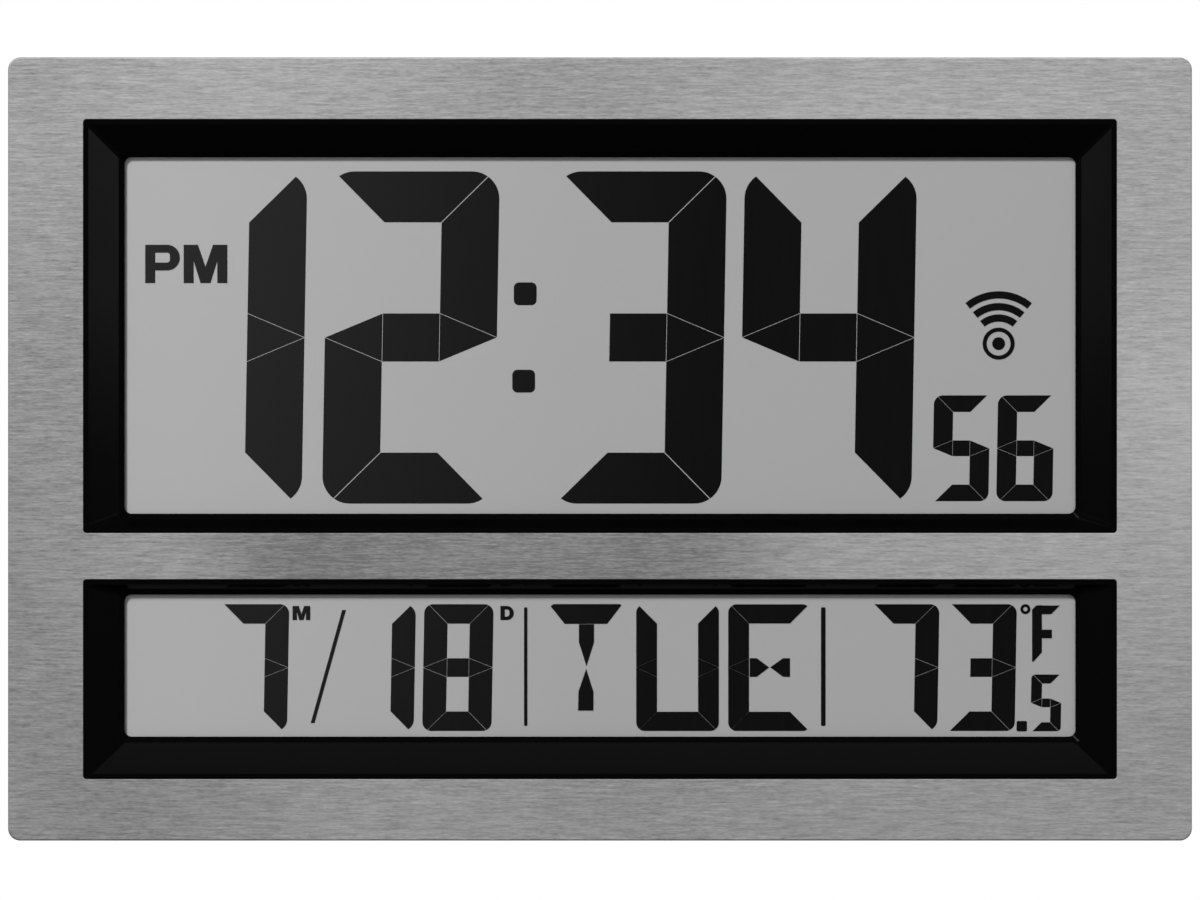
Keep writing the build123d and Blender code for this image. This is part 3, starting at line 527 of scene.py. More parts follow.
@dataclass(frozen=True)
class PlatedSteel(Finish):
    """Bright plated steel of screws, pins and contacts."""

    shade: Colour = (0.42, 0.43, 0.45)
    lift: float = 1.35
    marks: Triple = (1800.0, 500.0, 1800.0)
    rough: Place = (0.22, 0.4)
    strength: float = 0.12
    depth: float = 0.00003

    def wire(self, nodes: Wiring) -> None:
        """Fine turning marks and a slow change of gloss.

        Args:
            nodes: the nodes of the material.
        """
        fine = nodes.grain(self.marks, detail=3.0)
        nodes.shades(fine, self.shade, tuple(part * self.lift for part in self.shade))
        nodes.gloss(fine, self.rough)
        nodes.relief(fine, self.strength, self.depth)
        nodes.constants(Metallic=1.0)


@dataclass(frozen=True)
class BoardLacquer(Finish):
    """Green solder lacquer of a circuit board."""

    shade: Colour = (0.006, 0.05, 0.016)
    light: Colour = (0.02, 0.13, 0.045)
    contrast: Place = (0.42, 0.58)
    track_cells: Triple = (160.0, 160.0, 900.0)
    cells: float = 2500.0
    fine_share: float = 0.3
    rough: Place = (0.24, 0.36)
    strength: float = 0.15
    depth: float = 0.00004

    def wire(self, nodes: Wiring) -> None:
        """Faint lines of the copper below the lacquer.

        Args:
            nodes: the nodes of the material.
        """
        tracks = nodes.grain(self.track_cells, detail=1.0)
        fine = nodes.grain((self.cells,) * 3)
        nodes.shades(nodes.mean(tracks, fine, self.fine_share), self.shade, self.light, self.contrast)
        nodes.gloss(fine, self.rough)
        nodes.relief(tracks, self.strength, self.depth)


@dataclass(frozen=True)
class WoundCopper(Finish):
    """Enamelled wire wound in close turns along X."""

    shade: Colour = (0.19, 0.06, 0.02)
    light: Colour = (0.5, 0.2, 0.08)
    turns: Triple = (3600.0, 12.0, 12.0)
    rough: Place = (0.24, 0.4)
    metal: float = 0.7
    strength: float = 0.6
    depth: float = 0.00012

    def wire(self, nodes: Wiring) -> None:
        """Ridges of the turns.

        Args:
            nodes: the nodes of the material.
        """
        ridges = nodes.grain(self.turns, detail=0.0)
        nodes.shades(ridges, self.shade, self.light)
        nodes.gloss(ridges, self.rough)
        nodes.relief(ridges, self.strength, self.depth)
        nodes.constants(Metallic=self.metal)


@dataclass(frozen=True)
class CellSleeve(Finish):
    """Printed sleeve of a battery cell, with a bright band towards the nub."""

    nub: Nub = Nub.UP
    middle: float = 41.55 * MM
    reach: float = 11.0 * MM
    edge: float = 0.6 * MM
    shade: Colour = (0.02, 0.022, 0.026)
    light: Colour = (0.36, 0.35, 0.33)
    contrast: Place = (0.2, 0.75)
    cells: Triple = (1500.0, 1500.0, 90.0)
    fine_share: float = 0.12
    rough: Place = (0.26, 0.36)
    metal: float = 0.4

    def wire(self, nodes: Wiring) -> None:
        """Graphite sleeve, lighter beyond a line round the cell.

        Args:
            nodes: the nodes of the material.
        """
        fine = nodes.grain(self.cells)
        line = sorted(self.middle + self.nub.value * (self.reach + step) for step in (0.0, self.edge))
        sides = (0.0, 1.0) if self.nub is Nub.UP else (1.0, 0.0)
        band = nodes.spread(nodes.along(Axis.Z), line, sides)
        nodes.shades(nodes.mean(band, fine, self.fine_share), self.shade, self.light, self.contrast)
        nodes.gloss(fine, self.rough)
        nodes.constants(Metallic=self.metal)


@dataclass(frozen=True)
class PaleFloor(Finish):
    """Pale floor that fades into the white room towards its rim."""

    level: float = 0.0
    shade: float = 0.25
    light: float = 0.72
    cells: float = 40.0
    fine_share: float = 0.1
    fade: Place = (0.55, 1.5)
    rough: float = 0.8
    specular: float = 0.1

    def wire(self, nodes: Wiring) -> None:
        """Fine grain, lighter to the camera, which also sees a glow grow towards the rim.

        Args:
            nodes: the nodes of the material.
        """
        seen = nodes.node("ShaderNodeLightPath").outputs["Is Camera Ray"]
        fine = nodes.grain((self.cells,) * 3, detail=3.0)
        nodes.greys(nodes.mean(seen, fine, self.fine_share), self.shade, self.light, (0.0, 1.0))
        nodes.constants(Roughness=self.rough, Specular_IOR_Level=self.specular)
        rim = nodes.spread(nodes.distance((0.0, 0.0, self.level)), self.fade, (0.0, 1.0))
        share = nodes.reckon(Sum.PRODUCT, rim, seen)
        glow = nodes.node("ShaderNodeEmission").outputs[0]
        out = nodes.tree.nodes["Material Output"].inputs["Surface"]
        nodes.blend(share, nodes.shader.outputs[0], glow, out)


INK = LitSegment("lit_segment")
STEEL = PlatedSteel("plated_steel")
KEY_GREY = MouldedPlastic("key_grey", shade=(0.05, 0.05, 0.052), specular=0.35, rough=(0.36, 0.46))


def everything(middle: Vector, way: Vector) -> bool:
    """Test that every point, edge or face passes."""
    return True


def square_on(middle: Vector, way: Vector) -> bool:
    """Test for edges that run square to the face."""
    return abs(way.y) > ALONG


class Bench:
    """Modelling steps with Blender's operators, each on one piece alone."""

    @staticmethod
    def clear() -> None:
        """Leave edit mode and deselect everything."""
        if bpy.context.mode != "OBJECT":
            bpy.ops.object.mode_set(mode="OBJECT")
        bpy.ops.object.select_all(action="DESELECT")

    @staticmethod
    def take(*pieces: Piece) -> None:
        """Select these pieces alone, the first one active.

        Args:
            pieces: the pieces to select.
        """
        Bench.clear()
        for piece in pieces:
            piece.select_set(True)
        bpy.context.view_layer.objects.active = pieces[0]

    @staticmethod
    def settle(name: str) -> Piece:
        """Name the piece at hand and move its place, turn and size into its mesh.

        Args:
            name: the piece's name.

        Returns:
            The piece, at the origin.
        """
        made = bpy.context.object
        made.name = name
        bpy.ops.object.transform_apply(location=True, rotation=True, scale=True)
        return made

    @staticmethod
    def block(name: str, low: Triple, high: Triple) -> Piece:
        """Add a block between two corners.

        Args:
            name: the piece's name.
            low: lowest corner, in millimetres.
            high: highest corner, in millimetres.

        Returns:
            The block, with its place in its mesh.
        """
        Bench.clear()
        middle = [(a + b) / 2 * MM for a, b in zip(low, high)]
        bpy.ops.mesh.primitive_cube_add(size=1.0, location=middle)
        bpy.context.object.scale = [(b - a) * MM for a, b in zip(low, high)]
        return Bench.settle(name)

    @staticmethod
    def turned(name: str, centre: Place, radius: float, low: float, high: float) -> Piece:
        """Add a round bar square to the face.

        Args:
            name: the piece's name.
            centre: X and Z of its axis, in millimetres.
            radius: of the bar.
            low: level of one end above the wall.
            high: level of the other end.

        Returns:
            The bar, with its place in its mesh.
        """
        Bench.clear()
        bpy.ops.mesh.primitive_cylinder_add(
            vertices=ROUND_SIDES,
            radius=radius * MM,
            depth=(high - low) * MM,
            location=(centre[0] * MM, -(low + high) / 2 * MM, centre[1] * MM),
            rotation=(QUARTER_TURN, 0.0, 0.0),
        )
        return Bench.settle(name)

    @staticmethod
    def pick(piece: Piece, kind: Kind, test: Test) -> int:
        """Go into edit mode and select by place and direction.

        Args:
            piece: the piece at hand.
            kind: points, edges or faces.
            test: given the middle in millimetres, and an edge's direction or a face's or point's normal.

        Returns:
            How many were selected.
        """
        Bench.take(piece)
        bpy.ops.object.mode_set(mode="EDIT")
        bpy.ops.mesh.select_mode(type=kind.value)
        bpy.ops.mesh.select_all(action="DESELECT")
        mesh = bmesh.from_edit_mesh(piece.data)
        if kind is Kind.EDGE:
            ends = [(edge, [point.co / MM for point in edge.verts]) for edge in mesh.edges]
            found = [(edge, (a + b) / 2, (b - a).normalized()) for edge, (a, b) in ends]
        elif kind is Kind.FACE:
            found = [(face, face.calc_center_median() / MM, face.normal) for face in mesh.faces]
        else:
            found = [(point, point.co / MM, point.normal) for point in mesh.verts]
        chosen = [part for part, middle, way in found if test(middle, way)]
        for part in chosen:
            part.select_set(True)
        mesh.select_flush_mode()
        bmesh.update_edit_mesh(piece.data)
        return len(chosen)

    @staticmethod
    def round_edges(piece: Piece, test: Test, radius: float, steps: int) -> None:
        """Round the edges that pass a test.

        Args:
            piece: the piece at hand.
            test: as for pick.
            radius: in millimetres.
            steps: faces across each rounding.
        """
        if Bench.pick(piece, Kind.EDGE, test):
            bpy.ops.mesh.bevel(
                offset=radius * MM, segments=steps, profile=0.5, affect="EDGES", clamp_overlap=True
            )
        Bench.clear()

    @staticmethod
    def trim(piece: Piece, point: Place, outward: Place) -> None:
        """Cut off what lies beyond a line on the face.

        Args:
            piece: the piece at hand.
            point: X and Z of a point on the line, in millimetres.
            outward: X and Z of the direction that is cut off.
        """
        Bench.pick(piece, Kind.FACE, everything)
        bpy.ops.mesh.bisect(
            plane_co=(point[0] * MM, 0.0, point[1] * MM),
            plane_no=(outward[0], 0.0, outward[1]),
            use_fill=True,
            clear_outer=True,
            threshold=MERGE,
        )
        Bench.clear()

    @staticmethod
    def merge(piece: Piece, reach: float) -> None:
        """Merge points that lie together and turn the faces outwards.

        Args:
            piece: the piece at hand.
            reach: points nearer than this are merged, in metres.
        """
        Bench.pick(piece, Kind.FACE, everything)
        bpy.ops.mesh.select_all(action="SELECT")
        bpy.ops.mesh.remove_doubles(threshold=reach)
        bpy.ops.mesh.select_all(action="SELECT")
        bpy.ops.mesh.normals_make_consistent(inside=False)
        Bench.clear()

    @staticmethod
    def finish_mesh(piece: Piece) -> Piece:
        """Merge doubles and shade by angle, with flat faces kept flat.

        Args:
            piece: the piece at hand.

        Returns:
            The same piece.
        """
        Bench.merge(piece, MERGE)
        Bench.take(piece)
        bpy.ops.object.shade_smooth_by_angle(angle=SHARP_ANGLE)
        even = piece.modifiers.new("even", "WEIGHTED_NORMAL")
        even.keep_sharp = True
        even.weight = FLAT_WEIGHT
        bpy.ops.object.modifier_apply(modifier=even.name)
        Bench.clear()
        return piece

    @staticmethod
    def join(name: str, pieces: list[Piece]) -> Piece:
        """Join pieces into one of a new name.

        Args:
            name: the new piece's name.
            pieces: the pieces to join.

        Returns:
            The new piece.
        """
        Bench.take(*pieces)
        if len(pieces) > 1:
            bpy.ops.object.join()
        pieces[0].name = name
        return pieces[0]

    @staticmethod
    def combine(piece: Piece, others: list[Piece], act: Act = Act.CUT) -> Piece:
        """Cut solids out of a piece, or fuse them with it, and drop them.

        Args:
            piece: the piece at hand.
            others: the solids that act on it, in order.
            act: what they do to it.

        Returns:
            The same piece.
        """
        for other in others:
            Bench.take(piece)
            step = piece.modifiers.new(act.name, "BOOLEAN")
            step.operation = act.value
            step.solver = "EXACT"
            step.object = other
            bpy.ops.object.modifier_apply(modifier=step.name)
            bpy.data.objects.remove(other)
        return piece

    @staticmethod
    def copy(name: str, piece: Piece, move: Triple) -> Piece:
        """Copy a piece with its own mesh, moved in its mesh.

        Args:
            name: the copy's name.
            piece: the piece to copy.
            move: shift in millimetres.

        Returns:
            The copy.
        """
        Bench.take(piece)
        bpy.ops.object.duplicate()
        bpy.context.object.location = [part * MM for part in move]
        return Bench.settle(name)


def fix_to_case(piece: Piece, finish: Finish, replaced: str | None = None) -> Piece:
    """Coat a finished piece and fix it to the case.

    Args:
        piece: the piece at hand.
        finish: its finish.
        replaced: the node that it stands for, if any.

    Returns:
        The same piece.
    """
    finish.coat([piece])
    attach(piece, CASE)
    if replaced is not None:
        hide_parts(replaced)
    return piece


@dataclass(frozen=True)
class InkShapes:
    """Flat shapes between two levels above the wall, cut out of thin sheet."""

    back: float = GLASS_FRONT
    front: float = INK_FRONT
    corner_steps: int = 5
    disc_steps: int = 10
    disc_share: float = 0.99
    tongue_steps: int = 12
    arc_slab: float = 0.1
    arc_angle: float = 5.0
    arc_least: int = 8

    def deeper(self) -> "InkShapes":
        """Shapes deep enough to cut through these."""
        return InkShapes(self.back - CUT_MARGIN, self.front + CUT_MARGIN)

    def sheet(self, name: str, low: Place, high: Place) -> Piece:
        """Thin sheet between two corners on the face.

        Args:
            name: the piece's name.
            low: X and Z of the lower left corner, in millimetres.
            high: X and Z of the upper right corner.

        Returns:
            The sheet.
        """
        return Bench.block(name, (low[0], -self.front, low[1]), (high[0], -self.back, high[1]))

    def cut_to(self, piece: Piece, corners: Outline, inset: float = 0.0) -> None:
        """Cut a sheet down to a convex outline.

        Args:
            piece: the sheet.
            corners: outline points, in millimetres, in order round the outline.
            inset: how far each cut lies inside the outline.
        """
        centre = [sum(part) / len(corners) for part in zip(*corners)]
        across, up = ([point.co[axis] / MM for point in piece.data.vertices] for axis in (0, 2))
        box = [Vector((x, z)) for x in (min(across), max(across)) for z in (min(up), max(up))]
        for start, end in zip(corners, corners[1:] + corners[:1]):
            out = Vector((end[1] - start[1], start[0] - end[0])).normalized()
            if out.dot(Vector((start[0] - centre[0], start[1] - centre[1]))) < 0:
                out = -out
            place = (start[0] - out.x * inset, start[1] - out.y * inset)
            if max(out.dot(corner - Vector(place)) for corner in box) > LEAST_CUT:
                Bench.trim(piece, place, (out.x, out.y))

    def polygon(self, name: str, corners: Outline) -> Piece:
        """Convex shape with these corners.

        Args:
            name: the piece's name.
            corners: outline points, in millimetres, in order.

        Returns:
            The shape.
        """
        low, high = (tuple(fold(part) for part in zip(*corners)) for fold in (min, max))
        made = self.sheet(name, low, high)
        self.cut_to(made, corners)
        return made

    def bar(self, name: str, low: Place, high: Place, radius: float = 0.0, steps: int = 0) -> Piece:
        """Upright bar or block with rounded corners.

        Args:
            name: the piece's name.
            low: lower left corner, in millimetres.
            high: upper right corner.
            radius: of all four corners.
            steps: faces round each corner, or 0 for the usual number.

        Returns:
            The bar.
        """
        made = self.sheet(name, low, high)
        if radius > 0:
            Bench.round_edges(made, square_on, radius, steps or self.corner_steps)
        return made

    def disc(self, name: str, centre: Place, radius: float) -> Piece:
        """Round dot.

        Args:
            name: the piece's name.
            centre: X and Z of the centre, in millimetres.
            radius: of the dot.

        Returns:
            The dot.
        """
        low, high = ([part + side * radius for part in centre] for side in (-1, 1))
        return self.bar(name, low, high, self.disc_share * radius, self.disc_steps)

    def tongue(self, name: str, low: Place, high: Place, radius: float) -> Piece:
        """Sheet with its two right corners rounded.

        Args:
            name: the piece's name.
            low: lower left corner, in millimetres.
            high: upper right corner.
            radius: of the two corners.

        Returns:
            The sheet.
        """
        made = self.sheet(name, low, high)
        Bench.round_edges(
            made,
            lambda middle, way: square_on(middle, way) and middle.x > high[0] - NEAR,
            radius,
            self.tongue_steps,
        )
        return made

    def arc(self, name: str, centre: Place, outer: float, inner: float, start: float, sweep: float) -> Piece:
        """Band of a ring, spun round its centre.

        Args:
            name: the piece's name.
            centre: X and Z of the centre, in millimetres.
            outer: outer radius.
            inner: inner radius.
            start: angle of its first end from +X towards +Z, in degrees.
            sweep: angle it covers, in degrees.

        Returns:
            The band, closed where it goes all the way round.
        """
        x, z = centre
        made = self.sheet(name, (x + inner, z - self.arc_slab), (x + outer, z + self.arc_slab))
        Bench.pick(made, Kind.POINT, lambda middle, normal: middle.z < z)
        bpy.ops.mesh.delete(type="VERT")
        Bench.pick(made, Kind.POINT, everything)
        bpy.ops.transform.translate(value=(0.0, 0.0, -self.arc_slab * MM))
        pivot = (x * MM, 0.0, z * MM)
        bpy.ops.transform.rotate(value=math.radians(start), orient_axis="Y", center_override=pivot)
        whole = sweep >= WHOLE_TURN
        if whole:
            Bench.pick(made, Kind.FACE, everything)
            bpy.ops.mesh.delete(type="ONLY_FACE")
        Bench.pick(made, Kind.EDGE if whole else Kind.FACE, everything)
        bpy.ops.mesh.spin(
            steps=max(self.arc_least, round(sweep / self.arc_angle)),
            angle=math.radians(sweep),
            center=pivot,
            axis=(0.0, 1.0, 0.0),
            dupli=False,
        )
        if whole:
            Bench.merge(made, SEAM)
        Bench.clear()
        return made


@dataclass(frozen=True)
class SegmentLetter:
    """Letter made of segments like those of the figures beside it."""

    left: float
    middle: float
    height: float = 43.55
    width: float = 28.45
    stroke: float = 7.2
    bar: float = 6.65
    middle_bar: float = 6.4
    radius: float = 3.0
    gap: float = 0.08
    shapes: InkShapes = InkShapes()

    def corners(self) -> dict[Segment, Outline]:
        """Work out where each segment lies.

        Returns:
            Outline points of each segment, in millimetres.
        """
        x0, x1 = self.left, self.left + self.stroke
        x2, x3 = self.left + self.width - self.stroke, self.left + self.width
        half, arm, step = self.height / 2, self.height / 2 - self.bar, self.middle_bar / 2
        tip = arm + self.stroke
        local = {
            Segment.TOP: ((x1, arm), (x2, arm), (x2 + self.bar, half), (x1 - self.bar, half)),
            Segment.BOTTOM: ((x1 - self.bar, -half), (x2 + self.bar, -half), (x2, -arm), (x1, -arm)),
            Segment.UPPER_LEFT: ((x1, step), (x1, arm), (x0, tip), (x0, 0.0)),
            Segment.UPPER_RIGHT: ((x2, step), (x3, 0.0), (x3, tip), (x2, arm)),
            Segment.LOWER_LEFT: ((x1, -step), (x0, 0.0), (x0, -tip), (x1, -arm)),
            Segment.LOWER_RIGHT: ((x2, -step), (x2, -arm), (x3, -tip), (x3, 0.0)),
            Segment.LEFT_ARROW: ((x1, -step), (x1, step), (x0, 0.0)),
            Segment.RIGHT_ARROW: ((x2, -step), (x3, 0.0), (x2, step)),
        }
        return {part: tuple((x, z + self.middle) for x, z in points) for part, points in local.items()}

    def build(self, name: str, lit: tuple[Segment, ...]) -> list[Piece]:
        """Cut each lit segment out of a sheet with rounded corners.

        Args:
            name: start of the pieces' names.
            lit: the segments that show.

        Returns:
            The segments.
        """
        low = (self.left, self.middle - self.height / 2)
        high = (self.left + self.width, self.middle + self.height / 2)
        made = []
        for part in lit:
            sheet = self.shapes.bar(f"{name}_{part.name.lower()}", low, high, self.radius)
            self.shapes.cut_to(sheet, self.corners()[part], self.gap / 2)
            made.append(sheet)
        return made


@dataclass(frozen=True)
class BlockLetters:
    """Plain bold capitals for the small signs."""

    stem: float
    bar: float
    notch: float = 0.575
    crotch: float = 0.58
    shoulder: float = 1.43
    foot: float = 0.5
    shapes: InkShapes = InkShapes()

    def letter_m(self, left: float, right: float, low: float, high: float) -> Piece:
        """Capital M between two sides and two heights.

        Args:
            left: left side, in millimetres.
            right: right side.
            low: foot of the letter.
            high: top of the letter.

        Returns:
            The letter: two stems and the two slopes between them.
        """
        rise = high - low
        middle = (left + right) / 2
        notch, crotch = high - self.notch * rise, low + self.crotch * rise
        made = []
        for sense, side in ((1, left), (-1, right)):
            inner, shoulder = (side + sense * part * self.stem for part in (1.0, self.shoulder))
            foot = middle - sense * self.foot * self.stem
            stem = sorted((side, inner))
            made.append(self.shapes.bar("m_stem", (stem[0], low), (stem[1], high)))
            top = ((inner, high), (shoulder, high), (middle, notch))
            bottom = ((middle, low), (foot, low), (inner, crotch))
            made.append(self.shapes.polygon("m_slope", top + bottom))
        return Bench.combine(made[0], made[1:], Act.FUSE)

    def bowl(self, left: float, right: float, low: float, high: float) -> Piece:
        """Half-round bowl with straight ends, open to the left.

        Args:
            left: where its straight ends start, in millimetres.
            right: its furthest point.
            low: its lower edge.
            high: its upper edge.

        Returns:
            The bowl.
        """
        radius = min((high - low) / 2, right - left) - NEAR
        made = self.shapes.tongue("bowl", (left, low), (right, high), radius)
        inner_low = (left - self.stem, low + self.bar)
        inner_high = (right - self.stem, high - self.bar)
        inside = self.shapes.deeper().tongue("counter", inner_low, inner_high, radius - self.stem)
        return Bench.combine(made, [inside])

    def bowed(self, name: str, low: Place, high: Place, foot: float) -> Piece:
        """Capital with one stem and one bowl, such as P or D.

        Args:
            name: the letter's name.
            low: lower left corner, in millimetres.
            high: upper right corner.
            foot: lower edge of the bowl.

        Returns:
            The letter.
        """
        inner = low[0] + self.stem
        stem = self.shapes.bar(name, low, (inner, high[1]))
        return Bench.combine(stem, [self.bowl(inner, high[0], foot, high[1])], Act.FUSE)


@dataclass
class FlatFigures:
    """Figures of one display, laid flat on its glass and cut to their finer shape."""

    lean: float = 1.0
    thickness: float = 0.05
    cutter: InkShapes = InkShapes().deeper()

    def slope(self) -> float:
        """Shift to the right for each step up."""
        return math.tan(math.radians(self.lean))

    def copied(self, name: str, node: Piece) -> Piece:
        """Copy the figures of the CAD model and lay them flat.

        Args:
            name: the new piece's name.
            node: the figures to copy.

        Returns:
            The copy, with its doubles merged.
        """
        made = bpy.data.objects.new(name, node.data.copy())
        bpy.context.scene.collection.objects.link(made)
        Bench.pick(made, Kind.FACE, everything)
        bpy.ops.mesh.remove_doubles(threshold=SEAM)
        front = GLASS_FRONT + self.thickness
        Bench.pick(made, Kind.POINT, lambda middle, normal: middle.y < -front)
        bpy.ops.transform.translate(value=(0.0, (INK_FRONT - front) * MM, 0.0))
        Bench.clear()
        return made

    def finished(self, made: Piece, node: Piece) -> Piece:
        """Finish the copy and let it stand for the node."""
        return fix_to_case(Bench.finish_mesh(made), INK, node.name)


@dataclass
class DateFigures(FlatFigures):
    """Figures of date and temperature, with the free tips of their uprights rounded."""

    height: float = 43.55
    width: float = 23.8
    middle: float = -75.075
    radius: float = 4.0
    tips: tuple[tuple[float, int], ...] = ((-130.9, -1), (-87.4, 1), (-87.4, -1), (92.4, -1))

    def corner(self, left: float, sense: int) -> Piece:
        """What is cut away outside one rounded tip.

        Args:
            left: left edge of the figure at its mid height, in millimetres.
            sense: 1 for the tip at the top, -1 for the one at the foot.

        Returns:
            The corner block, hollowed by the tip's round.
        """
        reach = sense * (self.height / 2 - self.radius)
        x = left + self.width + reach * self.slope() - self.radius
        z = self.middle + reach
        side = self.radius + CUT_MARGIN
        low, high = sorted((z, z + sense * side))
        made = self.cutter.sheet("tip", (x, low), (x + side, high))
        ends = self.cutter.deeper()
        return Bench.combine(made, [Bench.turned("tip_round", (x, z), self.radius, ends.back, ends.front)])

    def build(self, node: Piece) -> Piece:
        """Round the free tips on a copy of the figures.

        Args:
            node: the figures of the CAD model.

        Returns:
            The figures that stand for them.
        """
        made = self.copied("date_figures", node)
        Bench.combine(made, [self.corner(left, sense) for left, sense in self.tips])
        return self.finished(made, node)


@dataclass
class TimeFigures(FlatFigures):
    """Figures of the time, parted along the light lines between their segments."""

    height: float = 114.1
    width: float = 59.1
    stroke: float = 19.7
    bar: float = 17.5
    middle_bar: float = 16.5
    gap: float = 0.1
    middle: float = 38.3
    first: float = -160.6
    spaces: tuple[float, ...] = (7.0, 18.9, 6.2)
    slit: float = 0.18
    mitre_slit: float = 0.28
    mitres: tuple[Joint, ...] = (Joint.MITRE_TOP_RIGHT, Joint.MITRE_BOTTOM_RIGHT, Joint.MITRE_BOTTOM_LEFT)
    joints: tuple[tuple[Joint, ...], ...] = (
        (Joint.RIGHT_UPPER, Joint.RIGHT_LOWER),
        (
            Joint.MITRE_TOP_RIGHT, Joint.RIGHT_UPPER, Joint.RIGHT_END,
            Joint.LEFT_END, Joint.LEFT_LOWER, Joint.MITRE_BOTTOM_LEFT,
        ),
        (
            Joint.MITRE_TOP_RIGHT, Joint.RIGHT_UPPER, Joint.RIGHT_END,
            Joint.RIGHT_LOWER, Joint.MITRE_BOTTOM_RIGHT,
        ),
        (Joint.LEFT_UPPER, Joint.LEFT_END, Joint.RIGHT_END, Joint.RIGHT_UPPER, Joint.RIGHT_LOWER),
    )

    def lines(self, left: float) -> dict[Joint, tuple[Place, Place]]:
        """Lines between neighbouring segments of one figure.

        Args:
            left: left edge of the figure at its mid height, in millimetres.

        Returns:
            Start and end of each line.
        """
        half, step = (self.height + self.gap) / 2, (self.middle_bar + self.gap) / 2
        rise = self.bar + self.gap
        arm = half - rise
        x1, x2, x3 = self.stroke + self.gap, self.width - self.stroke, self.width + self.gap
        local = {
            Joint.MITRE_TOP_RIGHT: ((x2, arm), (x2 + rise, half)),
            Joint.MITRE_BOTTOM_RIGHT: ((x2, -arm), (x2 + rise, -half)),
            Joint.MITRE_BOTTOM_LEFT: ((x1, -arm), (x1 - rise, -half)),
            Joint.RIGHT_UPPER: ((x2, step), (x3, 0.0)),
            Joint.RIGHT_LOWER: ((x2, -step), (x3, 0.0)),
            Joint.RIGHT_END: ((x2, -step), (x2, step)),
            Joint.LEFT_UPPER: ((x1, step), (0.0, 0.0)),
            Joint.LEFT_LOWER: ((x1, -step), (0.0, 0.0)),
            Joint.LEFT_END: ((x1, -step), (x1, step)),
        }
        start, slope = left - self.gap / 2, self.slope()
        return {
            joint: tuple((start + u + v * slope, self.middle + v) for u, v in ends)
            for joint, ends in local.items()
        }

    def slot(self, start: Place, end: Place, width: float) -> Piece:
        """Thin block along a line, through the thickness of the figures.

        Args:
            start: X and Z of one end, in millimetres.
            end: X and Z of the other end.
            width: across the line.

        Returns:
            The block.
        """
        run = Vector(end) - Vector(start)
        made = self.cutter.sheet("slot", (0.0, -width / 2), (run.length, width / 2))
        made.rotation_euler.y = -math.atan2(run.y, run.x)
        made.location = (start[0] * MM, 0.0, start[1] * MM)
        Bench.take(made)
        return Bench.settle("slot")

    def build(self, node: Piece) -> Piece:
        """Cut the lines into a copy of the figures.

        Args:
            node: the figures of the CAD model.

        Returns:
            The figures that stand for them.
        """
        made = self.copied("time_figures", node)
        left = self.first
        for joints, space in zip(self.joints, (*self.spaces, 0.0)):
            lines = self.lines(left)
            widths = [self.mitre_slit if joint in self.mitres else self.slit for joint in joints]
            Bench.combine(made, [self.slot(*lines[joint], width) for joint, width in zip(joints, widths)])
            left += self.width + space
        return self.finished(made, node)


@dataclass
class Sign:
    """Flat sign made of several shapes, in one piece on the case."""

    name: str = "sign"
    shapes: InkShapes = InkShapes()
    finish: Finish = INK
    slot: Slot = Slot.INK

    def parts(self) -> list[Piece]:
        """Make the sign's shapes."""
        raise NotImplementedError

    def build(self) -> Piece:
        """Join the shapes, finish them and fix them to the case."""
        made = Bench.finish_mesh(Bench.join(self.name, self.parts()))
        return fix_to_case(made, self.finish)


@dataclass
class AfternoonSign(Sign):
    """Sign beside the hour for the half of the day."""

    name: str = "afternoon_sign"
    low: float = 57.0
    high: float = 70.15
    bowl_foot: float = 61.34
    first: Place = (-156.2, -144.3)
    second: Place = (-143.0, -128.0)
    letters: BlockLetters = BlockLetters(stem=3.43, bar=2.7)

    def parts(self) -> list[Piece]:
        """Make both letters.

        Returns:
            The letters.
        """
        left, right = self.first
        return [
            self.letters.bowed("p", (left, self.low), (right, self.high), self.bowl_foot),
            self.letters.letter_m(*self.second, self.low, self.high),
        ]


@dataclass
class SignalSign(Sign):
    """Sign for the received time signal: three waves over a plain ring."""

    name: str = "signal_sign"
    centre: Place = (136.9, 36.2)
    radii: tuple[float, ...] = (18.0, 13.95, 10.05)
    band: float = 2.5
    half_span: float = 39.4
    ring: Place = (5.5, 4.1)
    dot: float = 2.2

    def parts(self) -> list[Piece]:
        """Make the waves, the ring and its dot.

        Returns:
            The shapes.
        """
        start, sweep = WHOLE_TURN / 4 - self.half_span, 2 * self.half_span
        made = [
            self.shapes.arc("wave", self.centre, radius, radius - self.band, start, sweep)
            for radius in self.radii
        ]
        made.append(self.shapes.arc("source_ring", self.centre, *self.ring, 0.0, WHOLE_TURN))
        made.append(self.shapes.disc("source_dot", self.centre, self.dot))
        return made


